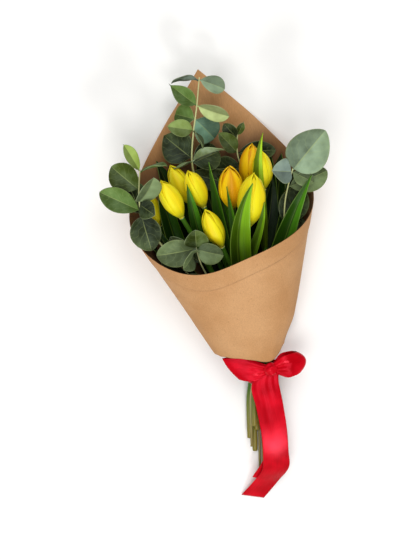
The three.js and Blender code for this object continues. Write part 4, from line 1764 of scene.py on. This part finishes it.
@dataclass(frozen=True)
class Loop:
    """A loop of the bow: its tip, its width, how far it opens, and how its far edge slants and rounds off."""

    name: str
    tip: Triple
    wide: float
    bulge: float
    slant: float
    rounding: float

    round_share: float = 0.93  # how far round the strip goes
    strip: float = 1.9  # the strip's length, in lengths of the loop
    gather: float = 1.4  # the height of the folds at the knot
    narrow: float = 0.35  # its width and height at the knot, as a share
    faces: tuple[int, int] = (24, 80)

    def build(self, palette: Palette, knot: Triple) -> bpy.types.Object:
        """Makes the loop.

        Args:
            palette: The finishes.
            knot: The knot's centre.

        Returns:
            The loop.
        """
        centre = Vector(knot)
        out = Vector(self.tip) - centre
        length = out.length
        out.normalize()
        across = (Vector((0, 1, 0)) - out * out.y).normalized()
        up = out.cross(across) * (1 if out.x > 0 else -1)

        def place(u: float, v: float) -> Vector:
            """A place on the loop, which is narrow and gathered at the knot."""
            turn = (v - 0.5) * 2 * math.pi * self.round_share
            reach = 0.5 + 0.5 * math.cos(turn)
            height = self.bulge * math.sin(turn) * mix(self.narrow, 1, smooth(0, 0.6, reach))
            fold = (1 - smooth(0, 0.75, reach)) * self.gather * math.cos(2.4 * math.pi * u + turn)
            height += fold if turn > 0 else -fold
            half = self.wide / 2 * mix(self.narrow, 1, smooth(0, 0.55, reach))
            half *= 1 - 0.08 * hump(reach, 1, 0.12)
            along = length * reach * (1 + self.slant * u - self.rounding * u * u)
            return centre + out * along + up * height + across * (u * half)

        form = Form()
        form.sheet(place, *self.faces, Layer(thickness=SATIN_THICKNESS))
        piece = form.finish(self.name, [palette.satin])
        return piece


@dataclass(frozen=True)
class Ribbon:
    """The satin ribbon: a band round the neck, its knot, two loops and two tails."""

    gap: float = 0.75
    half: float = 9
    knot: Triple = (12, 106, 49.5)
    knot_half: Triple = (9, 8, 6)
    knot_faces: tuple[int, int] = (40, 24)
    band_faces: tuple[int, int] = (60, 144)
    tuck: float = 0.22
    layer_gap: float = 0.85  # between the tucks
    slack: float = 0.25
    loops: tuple[Loop, ...] = (
        Loop("satin_loop_right", (56, 108, 45), 28, 7, 0, 0.2),
        Loop("satin_loop_left", (-37, 115, 43), 29, 3, 0.2, 0.05),
    )
    tails: tuple[Tail, ...] = (
        Tail(
            "satin_tail_front",
            (
                (2, 106, 46), (-14, 90, 45), (-14, 60, 43), (-14, 25, 40),
                (-17, -5, 34), (-21, -26, 26), (-34, -44, 14), (-53, -64, 1.5),
            ),
            (
                (22, 103, 46), (19, 90, 45), (19, 60, 43), (18, 25, 40),
                (15, -5, 34.5), (12, -30, 26), (-4, -50, 14), (-26, -74, 1.5),
            ),
            1.3,
        ),
        Tail(
            "satin_tail_rear",
            ((4, 104, 44), (-8, 80, 41), (-10, 25, 36), (-16, -10, 28), (-35, -38, 15)),
            ((16, 103, 44), (14, 78, 41), (16, 25, 36), (12, -10, 28), (-8, -50, 14.5)),
            0.6,
        ),
    )

    def band_place(self, u: float, v: float) -> Vector:
        """A place on the band, whose cloth is folded in soft tucks round the neck.

        Args:
            u: From -1 to 1 across the band.
            v: From 0 to 1 round the neck.

        Returns:
            The place, in millimetres.
        """
        turn = math.pi * (2 * v - 1)
        tuck = u + self.tuck * math.sin(3 * math.pi * u + 0.9 * math.sin(turn + 0.6))
        gap = self.gap + self.layer_gap * (1 - u) + self.slack * math.sin(7 * turn) * (1 - u * u)
        wide, deep = CONE.neck_half_width + gap, CONE.neck_half_depth + gap
        reach = CONE.tie_reach + 2 - 5 * math.sin(turn) - tuck * self.half
        return CONE.at(wide * math.sin(turn), reach, -deep * math.cos(turn))

    def band(self, palette: Palette) -> bpy.types.Object:
        """Makes the band.

        Args:
            palette: The finishes.

        Returns:
            The band, closed into a ring.
        """
        form = Form()
        verts = form.sheet(self.band_place, *self.band_faces)
        ends = [v for v in verts if any(e.is_boundary for e in v.link_edges)]
        bmesh.ops.remove_doubles(form.mesh, verts=ends, dist=JOIN)
        form.mesh.normal_update()
        bmesh.ops.solidify(form.mesh, geom=form.mesh.faces[:], thickness=SATIN_THICKNESS)
        for f in form.mesh.faces:
            f.smooth = True
        return form.finish("satin_band", [palette.satin])

    def tie(self, palette: Palette) -> bpy.types.Object:
        """Makes the knot: a tight roll of satin, creased where it turns under.

        Args:
            palette: The finishes.

        Returns:
            The knot.
        """
        form = Form()
        sides, rings = self.knot_faces
        made = bmesh.ops.create_uvsphere(
            form.mesh, u_segments=sides, v_segments=rings, radius=1.0, calc_uvs=True
        )
        x, y, z = self.knot_half
        for v in made["verts"]:
            turn = math.atan2(v.co.z, v.co.y)
            crease = 1 + 0.1 * math.cos(5 * turn + 2.2 * v.co.x) * (1 - v.co.x**4)
            round_half = crease * (1 - 0.16 * v.co.x**2)
            v.co = Vector(self.knot) + Vector((v.co.x * x, v.co.y * y * round_half, v.co.z * z * round_half))
        for f in form.mesh.faces:
            f.smooth = True
        return form.finish("satin_knot", [palette.satin])

    def build(self, palette: Palette) -> None:
        """Makes every part of the ribbon and dresses it.

        Args:
            palette: The finishes.
        """
        knot = self.tie(palette)
        band = self.band(palette)
        pieces = [knot, band]
        pieces += [loop.build(palette, self.knot) for loop in self.loops]
        pieces += [tail.build(palette) for tail in self.tails]
        for piece in pieces:
            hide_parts("ribbon")


@dataclass(frozen=True)
class RubberBand:
    """The rubber band that holds the stems under the ribbon. Its shape stays and is only dressed."""

    node: str = "rubber_band"

    def build(self, nodes: dict[str, bpy.types.Object], palette: Palette) -> None:
        """Dresses the node."""
        for slot in nodes[self.node].material_slots:
            slot.material = palette.rubber


# The studio


@dataclass(frozen=True)
class Lamp:
    """A soft square light, in metres and watts."""

    name: str
    place: Triple
    size: float
    power: float
    aim: Triple = (0, 0, 0.05)

    def build(self) -> None:
        """Adds the light, turned to the bunch."""
        data = bpy.data.lights.new(self.name, "AREA")
        data.shape = "SQUARE"
        data.size = self.size
        data.energy = self.power
        turn = (Vector(self.place) - Vector(self.aim)).to_track_quat("Z", "Y")
        lamp = bpy.data.objects.new(self.name, data)
        lamp.matrix_world = Matrix.Translation(self.place) @ turn.to_matrix().to_4x4()
        bpy.context.collection.objects.link(lamp)


@dataclass(frozen=True)
class Studio:
    """A pale floor, soft light and the camera, which looks down on the bunch.

    The picture is 420 by 560. The camera stands 1.5 m away, 13 degrees from the vertical towards the flowers,
    and turned so that the bunch leans to the left.
    """

    place: Triple = (-0.03794, 0.35929, 1.48218)
    tilt: float = math.radians(13)
    roll: float = math.radians(11.49)
    lens: float = 80.36
    floor_colour: str = "#f6f5f3"
    floor_half: float = 6.0
    surroundings: float = 0.33
    lamps: tuple[Lamp, ...] = (
        Lamp("key", (-0.5, -0.5, 2.6), 1.6, 31),
        Lamp("fill", (0.3, 1.4, 2.3), 1.5, 30),
        Lamp("low", (0.03, -1.75, 1.7), 0.42, 14),  # gives the satin its sheen
    )

    def camera(self) -> None:
        """Adds the camera."""
        back = Vector((0, math.sin(self.tilt), math.cos(self.tilt)))
        level = Vector((1, 0, 0))
        upright = Vector((0, math.cos(self.tilt), -math.sin(self.tilt)))
        right = level * math.cos(self.roll) - upright * math.sin(self.roll)
        up = level * math.sin(self.roll) + upright * math.cos(self.roll)
        data = bpy.data.cameras.new("camera")
        data.lens = self.lens
        data.clip_end = 20
        camera = bpy.data.objects.new("camera", data)
        turn = Matrix((right, up, back)).transposed().to_4x4()
        camera.matrix_world = Matrix.Translation(self.place) @ turn
        bpy.context.collection.objects.link(camera)
        bpy.context.scene.camera = camera

    def floor(self) -> None:
        """Adds the floor."""
        mesh = bmesh.new()
        bmesh.ops.create_grid(mesh, x_segments=1, y_segments=1, size=self.floor_half)
        data = bpy.data.meshes.new("floor")
        mesh.to_mesh(data)
        mesh.free()
        material, node = new_material("floor_matt_white")
        shader = node("BsdfPrincipled", {"Base Color": self.floor_colour, "Roughness": 0.9})
        node("OutputMaterial", {"Surface": shader})
        data.materials.append(material)
        floor = bpy.data.objects.new("floor", data)
        bpy.context.collection.objects.link(floor)

    def build(self) -> None:
        """Adds the camera, floor, lights and pale surroundings, with colours shown as they are."""
        bpy.context.scene.view_settings.view_transform = "Standard"
        self.camera()
        self.floor()
        for lamp in self.lamps:
            lamp.build()
        world = bpy.data.worlds.new("studio")
        bpy.context.scene.world = world
        world.use_nodes = True
        backdrop = world.node_tree.nodes["Background"]
        backdrop.inputs["Color"].default_value = (1, 1, 1, 1)
        backdrop.inputs["Strength"].default_value = self.surroundings


def main() -> None:
    """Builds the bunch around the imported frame."""
    logging.basicConfig(level=logging.INFO, format="%(message)s")
    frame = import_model()
    palette = Palette()
    Studio().build()
    heads = [(tulip.base, NECK.tulip_stem) for tulip in TULIPS]
    heads += [(sprig.stem[len(sprig.stem) // 2], NECK.sprig_stem) for sprig in SPRIGS]
    places = NECK.places(heads)
    for number, (tulip, place) in enumerate(zip(TULIPS, places), start=1):
        tulip.build(number, place, palette)
    for sprig, place in zip(SPRIGS, places[len(TULIPS) :]):
        sprig.build(place, palette)
    PaperWrap().build(palette)
    Ribbon().build(palette)
    RubberBand().build(frame["nodes"], palette)


if __name__ == "__main__":
    main()
